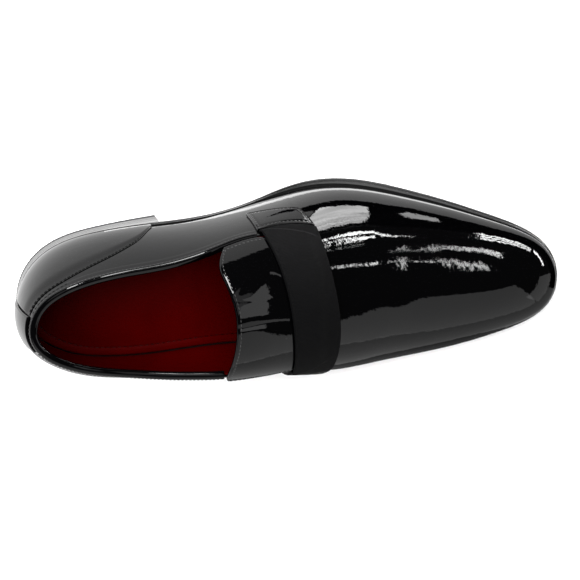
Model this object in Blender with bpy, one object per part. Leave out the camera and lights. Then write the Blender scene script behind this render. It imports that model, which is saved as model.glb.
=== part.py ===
"""Patent leather loafer, left shoe, with an evening strap over its tongue.

Every piece is cut from one function, the last: the form that a shoe is pulled over. The last is
worked out from the foot's length, the ball's width, the instep's and the heel's height and three
short tables, and each piece is a stretch of it between two distances from its surface.

Frame in metres: +X to the toe, +Y to the outer side of the foot, +Z up. The origin is on the
floor, under the middle of the heel.
"""
import bmesh
import bpy
import numpy as np

# Driving sizes of the last
FOOT_LENGTH = 0.301
BALL_WIDTH = 0.095
INSTEP_HEIGHT = 0.075
QUARTER_HEIGHT = 0.060
HEEL_HEIGHT = 0.022
TOE_SPRING = 0.012
HEEL_SETBACK = 0.041

# Thicknesses
OUTSOLE_THICKNESS = 0.0055
UPPER_WALL = 0.0020
COUNTER_THICKNESS = 0.0009
BACK_STRIP_THICKNESS = 0.0014
BINDING_THICKNESS = 0.0009
TONGUE_THICKNESS = 0.0018
STRAP_THICKNESS = 0.0013
TAB_THICKNESS = 0.0017
INSOLE_THICKNESS = 0.0028

# Distances between pieces
CLEARANCE = 0.0003
LIFT_OFF = 0.0002
INSOLE_MARGIN = 0.0009

# Details of the sole and the heel
EDGE_LEDGE = 0.0040
EDGE_STEP_HEIGHT = 0.0022
EDGE_STEP_SHARE = 0.30
EDGE_BEVEL = 0.0007
HEEL_TAPER = 0.0012
HEEL_FLARE = 0.0005
HEEL_FLARE_SHARPNESS = 6
HEEL_BREAST_HOLLOW = 0.0022
BINDING_DEPTH = 0.0042
BINDING_CROWN = 0.75

# Stations are shares of the foot's length, from the back of the heel to the tip of the toe
HEEL_BREAST = 0.266
SEAT_END = 0.28
FLAT_START = 0.60
FLAT_END = 0.70
SPINE_BACK = 0.11
SPINE_FRONT = 0.90
BULGE_CLIMB = 0.35

# The last's foot outline: sides as shares of the ball's width
OUTLINE = (
    # station, lateral side, medial side
    (0.000, -0.020, 0.020),
    (0.020, 0.178, 0.180),
    (0.050, 0.277, 0.258),
    (0.100, 0.350, 0.326),
    (0.160, 0.382, 0.354),
    (0.230, 0.396, 0.360),
    (0.300, 0.402, 0.350),
    (0.360, 0.417, 0.350),
    (0.430, 0.448, 0.385),
    (0.500, 0.482, 0.462),
    (0.570, 0.498, 0.520),
    (0.640, 0.474, 0.522),
    (0.720, 0.405, 0.508),
    (0.800, 0.319, 0.487),
    (0.870, 0.232, 0.448),
    (0.930, 0.150, 0.397),
    (0.975, 0.055, 0.317),
    (1.000, -0.135, 0.135),
)

# The last's sections: the ridge's height above the sole as a share of the instep's height, how
# square each side is, and shares of the ball's width for the ridge's shift and each side's swell
SECTIONS = (
    # station, ridge height, lateral squareness, medial squareness, shift, lateral swell, medial swell
    (0.00, 1.300, 3.00, 3.00, -0.020, 0.022, 0.022),
    (0.06, 1.180, 2.10, 2.10, -0.060, 0.024, 0.022),
    (0.14, 1.033, 1.90, 1.90, -0.100, 0.022, 0.026),
    (0.22, 0.993, 2.10, 2.20, -0.125, 0.018, 0.036),
    (0.31, 0.982, 2.70, 3.20, -0.120, 0.014, 0.056),
    (0.40, 0.981, 3.20, 4.30, -0.080, 0.012, 0.066),
    (0.46, 0.967, 3.30, 3.80, -0.060, 0.012, 0.055),
    (0.52, 0.925, 2.90, 3.00, -0.050, 0.016, 0.038),
    (0.60, 0.813, 2.40, 2.40, -0.045, 0.020, 0.026),
    (0.70, 0.667, 2.15, 2.15, -0.035, 0.020, 0.028),
    (0.80, 0.536, 2.00, 2.00, -0.025, 0.020, 0.028),
    (0.90, 0.389, 2.00, 2.00, -0.010, 0.020, 0.026),
    (1.00, 0.213, 2.00, 2.00, 0.000, 0.020, 0.020),
)

# The collar's height above the sole, as shares of the quarter's height at the back
COLLAR = (
    # station, lateral height, medial height
    (0.00, 1.000, 1.000),
    (0.05, 0.955, 0.960),
    (0.12, 0.835, 0.865),
    (0.17, 0.790, 0.830),
    (0.25, 0.775, 0.820),
    (0.33, 0.740, 0.830),
    (0.38, 0.735, 0.870),
    (0.42, 0.785, 0.925),
    (0.46, 0.905, 1.000),
    (0.50, 1.120, 1.120),
    (0.56, 1.400, 1.400),
    (1.00, 1.400, 1.400),
)

# The sole's ledge round the upper, as shares of the ledge at the ball
LEDGE = (
    # station, lateral ledge, medial ledge
    (0.00, 0.28, 0.28),
    (0.15, 0.28, 0.28),
    (0.34, 0.25, 0.25),
    (0.45, 0.27, 0.25),
    (0.50, 0.60, 0.45),
    (0.58, 1.00, 0.65),
    (0.75, 1.00, 0.75),
    (0.90, 0.82, 0.72),
    (1.00, 0.65, 0.65),
)

# The counter's upper edge, above the sole as shares of the quarter's height
COUNTER_EDGE = (
    # station, height
    (0.000, 0.900),
    (0.030, 0.885),
    (0.060, 0.835),
    (0.090, 0.755),
    (0.145, 0.605),
    (0.200, 0.440),
    (0.235, 0.235),
    (0.250, 0.060),
)

# The strap's rear and front edges, along its run from the lateral to the medial tab
STRAP_EDGES = (
    # share of the run, rear station, front station
    (0.00, 0.427, 0.532),
    (0.33, 0.450, 0.547),
    (0.62, 0.461, 0.556),
    (1.00, 0.469, 0.548),
)

# The corners of the tab that holds each end of the strap: heights as shares of the instep's
TAB_CORNERS = (
    # lateral station, medial station, lateral height, medial height
    (0.417, 0.459, 0.300, 0.220),
    (0.511, 0.531, 0.487, 0.400),
    (0.530, 0.547, 0.665, 0.560),
    (0.424, 0.468, 0.600, 0.500),
)

# The tongue's rear edge and its two side edges, as turns over the shoe in degrees
TONGUE_REAR = (
    # turn, station
    (20, 0.3390),
    (37, 0.3390),
    (51, 0.3440),
    (77, 0.3570),
    (95, 0.3580),
    (114, 0.3540),
    (137, 0.3470),
    (160, 0.3455),
)
TONGUE_SIDES = (
    # station, lateral turn, medial turn
    (0.335, 33.5, 159.0),
    (0.360, 31.6, 158.6),
    (0.380, 30.9, 158.0),
    (0.400, 31.1, 156.8),
    (0.420, 32.4, 155.0),
    (0.460, 38.0, 148.0),
    (0.500, 46.0, 138.0),
)
TONGUE_FRONT = 0.498
STRAP_RAMP_TURN = 4.0
STRAP_LEAD_TURN = 2.5
STRAP_RAMP_STATION = 0.045
TONGUE_CORNER_START = 0.72
TONGUE_LATERAL_CORNER = 0.26
TONGUE_MEDIAL_CORNER = 0.08

# The back strip's half width as an angle round the last, where it is centred and how it widens
STRIP_CENTRE = -0.030
STRIP_HALF_WIDTH = 0.145
STRIP_WIDENING = 0.12
COUNTER_STEEP_START = 0.19
BINDING_LATERAL_END = 0.4185
BINDING_MEDIAL_END = 0.338

# How finely each piece is cut into flat faces
UPPER_OPEN_COLUMNS = 28
UPPER_CLOSED_COLUMNS = 18
UPPER_ROWS = 11
SOLE_COLUMNS = 44
HEEL_COLUMNS = 12
COUNTER_ROWS = 8
STRIP_COLUMNS = 4
STRIP_ROWS = 7
TONGUE_COLUMNS = 18
TONGUE_ROWS = 8
STRAP_COLUMNS = 26
STRAP_ROWS = 6
STRAP_CROWDING = 0.08
TAB_COLUMNS = 4
BREAST_CUTS = 7
BINDING_BENDS = 6
BISECTIONS = 36
SLOPE_STEP = 1e-4
SHARP_EDGE = 35

PATENT = ("patent leather", (0.004, 0.004, 0.005), 0.08)
SATIN = ("grosgrain", (0.010, 0.010, 0.011), 0.75)
RED = ("red lining leather", (0.130, 0.004, 0.003), 0.40)
SOLE_BLACK = ("black sole", (0.012, 0.012, 0.012), 0.45)


def clear_scene():
    for found in list(bpy.data.objects):
        bpy.data.objects.remove(found)


# Curves through short tables

def spline(knots, values, period=None):
    """Cubic curve through the knots with a continuous second slope, closed if it has a period."""
    knots = np.asarray(knots, float)
    values = np.asarray(values, float)
    if period is not None:
        knots = np.append(knots, knots[0] + period)
        values = np.append(values, values[0])
    gaps = np.diff(knots)
    slopes = np.diff(values) / gaps
    last = len(knots) - 1
    matrix = np.zeros((last + 1, last + 1))
    jumps = np.zeros(last + 1)
    for row in range(1, last):
        matrix[row, row - 1:row + 2] = gaps[row - 1], 2 * (gaps[row - 1] + gaps[row]), gaps[row]
        jumps[row] = 6 * (slopes[row] - slopes[row - 1])
    if period is None:
        matrix[0, 0] = matrix[last, last] = 1
    else:
        matrix[0, [0, last]] = 1, -1
        matrix[last, :2] = 2 * gaps[0], gaps[0]
        matrix[last, -2:] = gaps[-1], 2 * gaps[-1]
        jumps[last] = 6 * (slopes[0] - slopes[-1])
    bends = np.linalg.solve(matrix, jumps)

    def curve(place):
        place = np.asarray(place, float)
        if period is not None:
            place = knots[0] + np.mod(place - knots[0], period)
        cell = np.clip(np.searchsorted(knots, place, side="right") - 1, 0, last - 1)
        before = place - knots[cell]
        after = knots[cell + 1] - place
        gap = gaps[cell]
        return ((bends[cell] * after ** 3 + bends[cell + 1] * before ** 3) / (6 * gap)
                + (values[cell] / gap - bends[cell] * gap / 6) * after
                + (values[cell + 1] / gap - bends[cell + 1] * gap / 6) * before)
    return curve


def column_curve(table, column):
    """Open curve of a table's column over its first column."""
    rows = np.array(table, float)
    return spline(rows[:, 0], rows[:, column])


def round_curve(table, lateral, medial, medial_sign=1):
    """Closed curve of the angle round the last, from a lateral and a medial column."""
    rows = np.array(table, float)
    angle = angle_at(rows[:, 0])
    knots = np.concatenate([angle, 2 * np.pi - angle[-2:0:-1]])
    values = np.concatenate([rows[:, lateral], medial_sign * rows[-2:0:-1, medial]])
    return spline(knots, values, 2 * np.pi)


def angle_at(station):
    """Angle round the last at a station of its lateral side."""
    return np.arccos(1 - 2 * np.clip(station, 0, 1))


def station_at(angle):
    return (1 - np.cos(angle)) / 2


def smooth_step(share):
    """Rises from 0 to 1 with level ends."""
    share = np.clip(share, 0, 1)
    return share ** 3 * (10 - 15 * share + 6 * share ** 2)


side_curve = round_curve(OUTLINE, 1, 2, -1)
ridge_curve = column_curve(SECTIONS, 1)
square_curve = round_curve(SECTIONS, 2, 3)
shift_curve = column_curve(SECTIONS, 4)
swell_curve = round_curve(SECTIONS, 5, 6)
collar_curve = round_curve(COLLAR, 1, 2)
ledge_curve = round_curve(LEDGE, 1, 2)
counter_curve = column_curve(COUNTER_EDGE, 1)
strap_rear_curve = column_curve(STRAP_EDGES, 1)
strap_front_curve = column_curve(STRAP_EDGES, 2)
tongue_rear_curve = column_curve(TONGUE_REAR, 1)
tongue_lateral_curve = column_curve(TONGUE_SIDES, 1)
tongue_medial_curve = column_curve(TONGUE_SIDES, 2)


# The last

def sole_bottom(x):
    """Height of the outsole's underside: heel seat, arch, flat spot and toe spring."""
    station = x / FOOT_LENGTH
    drop = smooth_step((station - SEAT_END) / (FLAT_START - SEAT_END))
    rise = np.clip((station - FLAT_END) / (1 - FLAT_END), 0, None) ** 2
    return HEEL_HEIGHT * (1 - drop) + TOE_SPRING * rise


def sole_top(x):
    return sole_bottom(x) + OUTSOLE_THICKNESS


def foot_point(angle):
    """Point of the last's foot outline, seen from above."""
    return FOOT_LENGTH * station_at(angle), BALL_WIDTH * side_curve(angle)


def last_point(angle, lift):
    """Point of the last: angle runs round it, lift from 0 at the foot to pi / 2 on the ridge."""
    angle, lift = np.broadcast_arrays(np.asarray(angle, float), np.asarray(lift, float))
    share = station_at(angle)
    foot_x, foot_y = foot_point(angle)
    spine = SPINE_BACK + (SPINE_FRONT - SPINE_BACK) * share
    spine_x = FOOT_LENGTH * spine
    spine_angle = angle_at(spine)
    spine_y = BALL_WIDTH * (side_curve(spine_angle) + side_curve(2 * np.pi - spine_angle)) / 2
    reach = np.hypot(foot_x - spine_x, foot_y - spine_y)
    climb = np.maximum(np.sin(lift), 1e-9) ** (2 / square_curve(angle))
    swell = climb / BULGE_CLIMB * np.exp(1 - climb / BULGE_CLIMB) * np.cos(lift) ** 2
    spread = np.cos(lift) + BALL_WIDTH * swell_curve(angle) * swell / reach
    x = spine_x + (foot_x - spine_x) * spread
    y = spine_y + (foot_y - spine_y) * spread + BALL_WIDTH * shift_curve(x / FOOT_LENGTH) * climb
    base = sole_top(foot_x) + CLEARANCE
    ridge = sole_top(x) + INSTEP_HEIGHT * ridge_curve(x / FOOT_LENGTH)
    return np.stack([x, y, base + (ridge - base) * climb], -1)


def shell_point(angle, lift, offset):
    """Point at a distance outside the last's surface, or inside it where the offset is negative."""
    step = SLOPE_STEP
    angle, lift = np.broadcast_arrays(np.asarray(angle, float), np.asarray(lift, float))
    near = np.clip(lift, 0.004, np.pi / 2 - 0.03)
    along = last_point(angle + step, near) - last_point(angle - step, near)
    upward = last_point(angle, near + step) - last_point(angle, near - step)
    normal = np.cross(upward, along)
    normal = normal / np.linalg.norm(normal, axis=-1, keepdims=True)
    return last_point(angle, lift) + normal * np.asarray(offset, float)[..., None]


def seated(points):
    """Sets the first row of a grid of points down on the sole."""
    points = points.copy()
    points[:, 0, 2] = sole_top(points[:, 0, 0]) + CLEARANCE
    return points


def bisect(is_below, low, high):
    """Place between low and high where is_below turns from true to false."""
    for _ in range(BISECTIONS):
        middle = (low + high) / 2
        below = is_below(middle)
        low = np.where(below, middle, low)
        high = np.where(below, high, middle)
    return high


def lift_at_height(angle, height):
    """Lift at which the last reaches a height above the sole, at most the ridge's."""
    target = sole_top(foot_point(angle)[0]) + height
    return bisect(lambda lift: last_point(angle, lift)[..., 2] < target,
                  np.zeros_like(angle), np.full_like(angle, np.pi / 2))


def collar_lift(angle):
    return lift_at_height(angle, QUARTER_HEIGHT * collar_curve(angle))


def throat_angle():
    """Angle at which the collar's line meets the ridge, which is the front of the opening."""
    angles = np.linspace(angle_at(0.40), angle_at(0.60), 400)
    ridge_x = FOOT_LENGTH * (SPINE_BACK + (SPINE_FRONT - SPINE_BACK) * station_at(angles))
    ridge = sole_top(ridge_x) + INSTEP_HEIGHT * ridge_curve(ridge_x / FOOT_LENGTH)
    collar = sole_top(foot_point(angles)[0]) + QUARTER_HEIGHT * collar_curve(angles)
    return angles[np.argmax(collar >= ridge)]


def section(x, turn):
    """Angle and lift of the point in the plane at x: turn 0 is lateral, pi is medial."""
    x, turn = np.broadcast_arrays(np.asarray(x, float), np.asarray(turn, float))
    spread = np.abs(np.cos(turn))
    share = x / FOOT_LENGTH - (1 - spread) * SPINE_BACK
    share = share / ((1 - spread) * (SPINE_FRONT - SPINE_BACK) + spread)
    angle = np.where(turn <= np.pi / 2, angle_at(share), 2 * np.pi - angle_at(share))
    return angle, np.minimum(turn, np.pi - turn)


def section_point(x, turn, offset):
    return shell_point(*section(x, turn), offset)


def turn_at_height(x, height, medial=False):
    """Turn over the shoe at which the section at x reaches a height above the sole."""
    def is_below(lift):
        turn = np.pi - lift if medial else lift
        return last_point(*section(x, turn))[..., 2] < sole_top(x) + height
    lift = bisect(is_below, np.zeros_like(x), np.full_like(x, np.pi / 2))
    return np.pi - lift if medial else lift


# Solids from grids of points

def material(look):
    name, colour, roughness = look
    found = bpy.data.materials.get(name)
    if found:
        return found
    made = bpy.data.materials.new(name)
    made.use_nodes = True
    shader = made.node_tree.nodes["Principled BSDF"]
    shader.inputs["Base Color"].default_value = (*colour, 1)
    shader.inputs["Roughness"].default_value = roughness
    shader.inputs["Metallic"].default_value = 0
    return made


def solid(name, points, faces, look):
    """Closed object from points in the last's frame, moved to the shoe's origin."""
    points = np.asarray(points) - np.array([HEEL_SETBACK, 0, 0])
    mesh = bpy.data.meshes.new(name)
    mesh.from_pydata(points.tolist(), [], faces)
    form = bmesh.new()
    form.from_mesh(mesh)
    bmesh.ops.recalc_face_normals(form, faces=form.faces)
    form.to_mesh(mesh)
    form.free()
    mesh.shade_smooth()
    mesh.set_sharp_from_angle(angle=np.radians(SHARP_EDGE))
    mesh.materials.append(material(look))
    made = bpy.data.objects.new(name, mesh)
    bpy.context.scene.collection.objects.link(made)
    return made


def plate(name, inner, outer, look):
    """Solid between two grids of points of the same size."""
    columns, rows = inner.shape[:2]
    index = np.arange(columns * rows).reshape(columns, rows)
    far = index + columns * rows

    def quads(grid):
        return np.stack([grid[:-1, :-1], grid[1:, :-1], grid[1:, 1:], grid[:-1, 1:]], -1)

    sides = [np.stack([index[edge], far[edge]]) for edge in
             (np.s_[:, 0], np.s_[:, -1], np.s_[0, :], np.s_[-1, :])]
    faces = [quads(grid).reshape(-1, 4) for grid in (index, far, *sides)]
    points = np.concatenate([inner.reshape(-1, 3), outer.reshape(-1, 3)])
    return solid(name, points, np.concatenate(faces).tolist(), look)


def stack(name, rings, look):
    """Solid through closed rings of points that run round the shoe, with ladders for its ends."""
    rings = np.asarray(rings)
    levels, count = rings.shape[:2]
    index = np.arange(levels * count).reshape(levels, count)
    after = np.roll(index, -1, axis=1)
    walls = np.stack([index[:-1], after[:-1], after[1:], index[1:]], -1).reshape(-1, 4).tolist()
    half = count // 2
    caps = []
    for ring in (index[0], index[-1]):
        caps.append([ring[0], ring[1], ring[-1]])
        caps.append([ring[half - 1], ring[half], ring[half + 1]])
        caps += [[ring[k], ring[k + 1], ring[-k - 1], ring[-k]] for k in range(1, half - 1)]
    return solid(name, rings.reshape(-1, 3), walls + [list(map(int, cap)) for cap in caps], look)


def foot_speed(angle):
    """Length of the foot outline for each radian of its angle."""
    ahead = np.array(foot_point(angle + SLOPE_STEP))
    return np.linalg.norm(ahead - np.array(foot_point(angle - SLOPE_STEP))) / (2 * SLOPE_STEP)


def edge_ring(angle, outset, height):
    """Ring at a distance outside the foot outline, at a height given as a function of x."""
    x, y = foot_point(angle)
    next_x, next_y = foot_point(angle + SLOPE_STEP)
    last_x, last_y = foot_point(angle - SLOPE_STEP)
    length = np.hypot(next_x - last_x, next_y - last_y)
    x = x - (next_y - last_y) / length * outset
    y = y + (next_x - last_x) / length * outset
    return np.stack([x, y, height(x)], -1)


# Pieces

def make_outsole():
    """Slab with the true bottom line; its upper layer stands a step inside the lower one."""
    angle = np.linspace(0, 2 * np.pi, 2 * SOLE_COLUMNS, endpoint=False)
    ledge = EDGE_LEDGE * ledge_curve(angle)
    step = EDGE_STEP_SHARE * ledge

    def under_step(x):
        return sole_top(x) - EDGE_STEP_HEIGHT

    rings = [
        edge_ring(angle, ledge - step, sole_top),
        edge_ring(angle, ledge - step, under_step),
        edge_ring(angle, ledge, under_step),
        edge_ring(angle, ledge, lambda x: sole_bottom(x) + EDGE_BEVEL),
        edge_ring(angle, ledge - EDGE_BEVEL, sole_bottom),
    ]
    return stack("outsole", rings, SOLE_BLACK)


def make_heel():
    """Block under the seat: it tapers at the back, flares at the breast and is hollowed there."""
    end = angle_at(HEEL_BREAST)
    angle = np.linspace(-end, end, 2 * HEEL_COLUMNS + 1)
    ledge = EDGE_LEDGE * ledge_curve(angle)
    near_breast = (np.abs(angle) / end) ** HEEL_FLARE_SHARPNESS
    taper = HEEL_TAPER - (HEEL_TAPER + HEEL_FLARE) * near_breast
    across = np.linspace(1, -1, BREAST_CUTS + 1)[1:-1]
    rings = []
    seat = ledge - EDGE_BEVEL * (1 - near_breast)
    for outset, height in ((seat, HEEL_HEIGHT - CLEARANCE), (ledge - taper, 0.0)):
        ring = edge_ring(angle, outset, lambda x: 0 * x + height)
        lateral, medial = ring[-1], ring[0]
        middle = (lateral + medial) / 2
        breast = middle + across[:, None] * (lateral - middle)
        breast[:, 0] -= HEEL_BREAST_HOLLOW * (1 - across ** 2)
        rings.append(np.concatenate([ring, breast]))
    count = len(rings[0])
    walls = [[k, (k + 1) % count, count + (k + 1) % count, count + k] for k in range(count)]
    faces = walls + [list(range(count)), list(range(count, 2 * count))]
    return solid("heel", np.concatenate(rings), faces, SOLE_BLACK)


def upper_columns():
    """Angles of the upper's columns round the shoe, with one exactly at the throat."""
    throat = throat_angle()
    opened = np.linspace(0, throat, UPPER_OPEN_COLUMNS + 1)
    closed = np.linspace(throat, np.pi, UPPER_CLOSED_COLUMNS + 1)
    half = np.concatenate([opened, closed[1:]])
    return np.concatenate([half, 2 * np.pi - half[-2:0:-1]])


def make_upper():
    """Hollow shell of the vamp and quarters, open at the collar and under the foot."""
    angle = upper_columns()
    count = len(angle)
    half = count // 2
    top = collar_lift(angle)
    top[UPPER_OPEN_COLUMNS:count - UPPER_OPEN_COLUMNS + 1] = np.pi / 2
    share = np.linspace(0, 1, UPPER_ROWS + 1)
    square = square_curve(angle)[:, None]
    lift = top[:, None] * share ** (square / 2)
    outer = seated(shell_point(angle[:, None], lift, 0 * lift))
    inner = seated(shell_point(angle[:, None], lift, 0 * lift - UPPER_WALL))
    index = np.arange(count * (UPPER_ROWS + 1)).reshape(count, UPPER_ROWS + 1)
    for column in range(UPPER_OPEN_COLUMNS, half):
        index[count - column, -1] = index[column, -1]
    far = index + index.size
    faces = []
    for grid in (index, far):
        after = np.roll(grid, -1, axis=0)
        quads = np.stack([grid[:, :-1], after[:, :-1], after[:, 1:], grid[:, 1:]], -1)
        faces += quads.reshape(-1, 4).tolist()
    for column in range(count):
        after = (column + 1) % count
        faces.append([index[column, 0], index[after, 0], far[after, 0], far[column, 0]])
        if column < UPPER_OPEN_COLUMNS or column >= count - UPPER_OPEN_COLUMNS:
            faces.append([index[column, -1], index[after, -1], far[after, -1], far[column, -1]])
    points = np.concatenate([outer.reshape(-1, 3), inner.reshape(-1, 3)])
    used, places = np.unique(np.array(faces), return_inverse=True)
    return solid("upper", points[used], places.reshape(-1, 4).tolist(), PATENT)


def strip_half_width(share):
    """The back strip's half width at a share of its height."""
    return STRIP_HALF_WIDTH * (1 + STRIP_WIDENING * share)


def make_counter(name, sign):
    """Heel counter of one side: from the back strip to its curved front edge."""
    side_end = angle_at(np.array(COUNTER_EDGE)[-1, 0])
    gap = CLEARANCE / foot_speed(0)
    start = sign * STRIP_CENTRE + strip_half_width(1) + gap
    run = upper_columns()
    run = run[(run > start + gap) & (run < side_end - gap)]
    run = np.concatenate([[start], run, [side_end]])
    steep = run[:-1][station_at(run[:-1]) > COUNTER_STEEP_START]
    run = np.sort(np.concatenate([run, steep + (run[-2] - run[-3]) / 2]))
    run = run[run <= side_end]
    angle = sign * run
    height = QUARTER_HEIGHT * counter_curve(station_at(run))
    rows = np.linspace(0, 1, COUNTER_ROWS + 1) ** (square_curve(angle)[:, None] / 2)
    lift = lift_at_height(angle, height)[:, None] * rows
    inner = seated(shell_point(angle[:, None], lift, 0 * lift + CLEARANCE))
    outer = seated(shell_point(angle[:, None], lift, 0 * lift + CLEARANCE + COUNTER_THICKNESS))
    return plate(name, inner, outer, PATENT)


def make_back_strip():
    """Strip over the back seam, from the sole to just under the collar's binding."""
    share = np.linspace(0, 1, STRIP_ROWS + 1)
    across = np.linspace(-1, 1, STRIP_COLUMNS + 1)
    angle = STRIP_CENTRE + across[:, None] * strip_half_width(share)
    under_binding = QUARTER_HEIGHT * collar_curve(angle) - BINDING_DEPTH - 2 * CLEARANCE
    lift = lift_at_height(angle, under_binding) * share ** (square_curve(angle) / 2)
    inner = seated(shell_point(angle, lift, 0 * lift + CLEARANCE))
    outer = seated(shell_point(angle, lift, 0 * lift + CLEARANCE + BACK_STRIP_THICKNESS))
    return plate("back_strip", inner, outer, PATENT)


def make_binding():
    """Channel folded over the collar's edge, from the strap round the heel to the tongue."""
    ends = -angle_at(BINDING_MEDIAL_END), angle_at(BINDING_LATERAL_END)
    angle = upper_columns()
    angle = np.sort(np.where(angle > np.pi, angle - 2 * np.pi, angle))
    angle = angle[(angle > ends[0]) & (angle < ends[1])]
    angle = np.concatenate([ends[:1], angle, ends[1:]])
    rim = collar_lift(angle)
    foot = lift_at_height(angle, QUARTER_HEIGHT * collar_curve(angle) - BINDING_DEPTH)
    outward = shell_point(angle, rim, 0 * angle + 1) - last_point(angle, rim)
    upward = last_point(angle, rim) - last_point(angle, foot)
    upward = upward - (upward * outward).sum(-1, keepdims=True) * outward
    upward = upward / np.linalg.norm(upward, axis=-1, keepdims=True)
    near = CLEARANCE
    far = CLEARANCE + BINDING_THICKNESS
    middle = -UPPER_WALL / 2
    radius = far - middle
    bend = np.linspace(0, np.pi, BINDING_BENDS + 1)
    crown = middle + radius * np.cos(bend), near + BINDING_CROWN * radius * np.sin(bend)

    def leg(offset):
        return shell_point(angle, foot, 0 * angle + offset)

    def over(offset, rise):
        return last_point(angle, rim) + offset * outward + rise * upward

    section_points = [leg(far)]
    section_points += [over(offset, rise) for offset, rise in zip(*crown)]
    section_points += [leg(-UPPER_WALL - far), leg(-UPPER_WALL - near)]
    section_points += [over(-UPPER_WALL - near, near), over(near, near), leg(near)]
    points = np.stack(section_points, 1)
    count = points.shape[1]
    index = np.arange(points.shape[0] * count).reshape(-1, count)
    after = np.roll(index, -1, axis=1)
    faces = np.stack([index[:-1], after[:-1], after[1:], index[1:]], -1).reshape(-1, 4).tolist()
    faces += [index[0].tolist(), index[-1].tolist()]
    return solid("collar_binding", points.reshape(-1, 3), faces, PATENT)


def make_tongue():
    """Arched plate from its free rear edge to its front end on the vamp, under the strap."""
    across = np.linspace(-1, 1, TONGUE_COLUMNS + 1)[:, None]
    along = np.linspace(0, 1, TONGUE_ROWS + 1)
    size = np.where(across < 0, TONGUE_LATERAL_CORNER, TONGUE_MEDIAL_CORNER)
    corner = size * np.maximum(0, np.abs(across) - TONGUE_CORNER_START) ** 2
    station = np.full((TONGUE_COLUMNS + 1, TONGUE_ROWS + 1), TONGUE_FRONT)
    for _ in range(BISECTIONS):
        lateral, medial = tongue_lateral_curve(station), tongue_medial_curve(station)
        turn = (lateral + medial) / 2 + across * (medial - lateral) / 2
        rear = tongue_rear_curve(turn) + corner
        station = rear + (TONGUE_FRONT - rear) * along
    turn = np.radians(turn)
    x = FOOT_LENGTH * station
    inner = section_point(x, turn, 0 * turn + CLEARANCE + LIFT_OFF)
    outer = section_point(x, turn, 0 * turn + CLEARANCE + LIFT_OFF + TONGUE_THICKNESS)
    return plate("tongue", inner, outer, PATENT)


def strap_ends(across):
    """Turns of the strap's lateral and medial ends, which lie along the tabs' upper edges."""
    front, rear = TAB_CORNERS[2], TAB_CORNERS[3]
    ends = []
    for column, medial in ((0, False), (1, True)):
        x = FOOT_LENGTH * (rear[column] + across * (front[column] - rear[column]))
        low, high = rear[column + 2], front[column + 2]
        height = INSTEP_HEIGHT * (low + across * (high - low)) + 2 * CLEARANCE
        ends.append(turn_at_height(x, height, medial))
    return ends


def make_strap():
    """Grosgrain band over the tongue and the vamp, between the two tabs."""
    across = np.linspace(0, 1, STRAP_ROWS + 1)
    run = np.linspace(0, 1, STRAP_COLUMNS + 1)
    run = run - STRAP_CROWDING * np.sin(2 * np.pi * run)
    lateral, medial = strap_ends(across)
    turn = lateral + run[:, None] * (medial - lateral)
    rear, front = strap_rear_curve(run), strap_front_curve(run)
    x = FOOT_LENGTH * (rear[:, None] + across * (front - rear)[:, None])
    station = x / FOOT_LENGTH
    past_lateral = np.degrees(turn) - tongue_lateral_curve(station) + STRAP_LEAD_TURN
    past_medial = tongue_medial_curve(station) - np.degrees(turn) + STRAP_LEAD_TURN
    past_front = 1 - (station - TONGUE_FRONT) / STRAP_RAMP_STATION
    over_tongue = smooth_step(past_front)
    for past in (past_lateral, past_medial):
        over_tongue = over_tongue * smooth_step(1 + past / STRAP_RAMP_TURN)
    low = CLEARANCE + LIFT_OFF + (TONGUE_THICKNESS + CLEARANCE + LIFT_OFF) * over_tongue
    inner = section_point(x, turn, low)
    outer = section_point(x, turn, low + STRAP_THICKNESS)
    return plate("strap", inner, outer, SATIN)


def make_tab(name, column, medial):
    """Parallelogram of patent leather that is stitched over one end of the strap."""
    share = np.linspace(0, 1, TAB_COLUMNS + 1)
    along, up = np.meshgrid(share, share, indexing="ij")
    corners = np.array([(corner[column], corner[column + 2]) for corner in TAB_CORNERS])
    low = corners[0] + along[..., None] * (corners[1] - corners[0])
    high = corners[3] + along[..., None] * (corners[2] - corners[3])
    station, height = np.moveaxis(low + up[..., None] * (high - low), -1, 0)
    x = FOOT_LENGTH * station
    turn = turn_at_height(x, INSTEP_HEIGHT * height, medial)
    inner = section_point(x, turn, 0 * turn + CLEARANCE)
    outer = section_point(x, turn, 0 * turn + CLEARANCE + TAB_THICKNESS)
    return plate(name, inner, outer, PATENT)


def make_insole():
    """Sock on the sole, inside the upper's wall."""
    angle = np.linspace(0, 2 * np.pi, 2 * SOLE_COLUMNS, endpoint=False)
    inset = -UPPER_WALL - INSOLE_MARGIN + 0 * angle
    rings = [
        edge_ring(angle, inset, lambda x: sole_top(x) + CLEARANCE + INSOLE_THICKNESS),
        edge_ring(angle, inset, lambda x: sole_top(x) + CLEARANCE),
    ]
    return stack("insole", rings, RED)


clear_scene()
make_outsole()
make_heel()
make_upper()
make_counter("counter_lateral", 1)
make_counter("counter_medial", -1)
make_back_strip()
make_binding()
make_tongue()
make_strap()
make_tab("strap_tab_lateral", 0, False)
make_tab("strap_tab_medial", 1, True)
make_insole()
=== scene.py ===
# %% [markdown]
# # A patent leather loafer, left shoe
# A loafer like this one is a black patent upper pulled over a last, a red leather lining, a tongue
# that ends under a grosgrain strap, and a thin black leather sole with a low heel. The packed
# solids are already the right size. This lesson dresses each of them with a fine surface, and
# then lights the shoe, because patent leather is black: what the eye sees is what it reflects.

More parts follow.
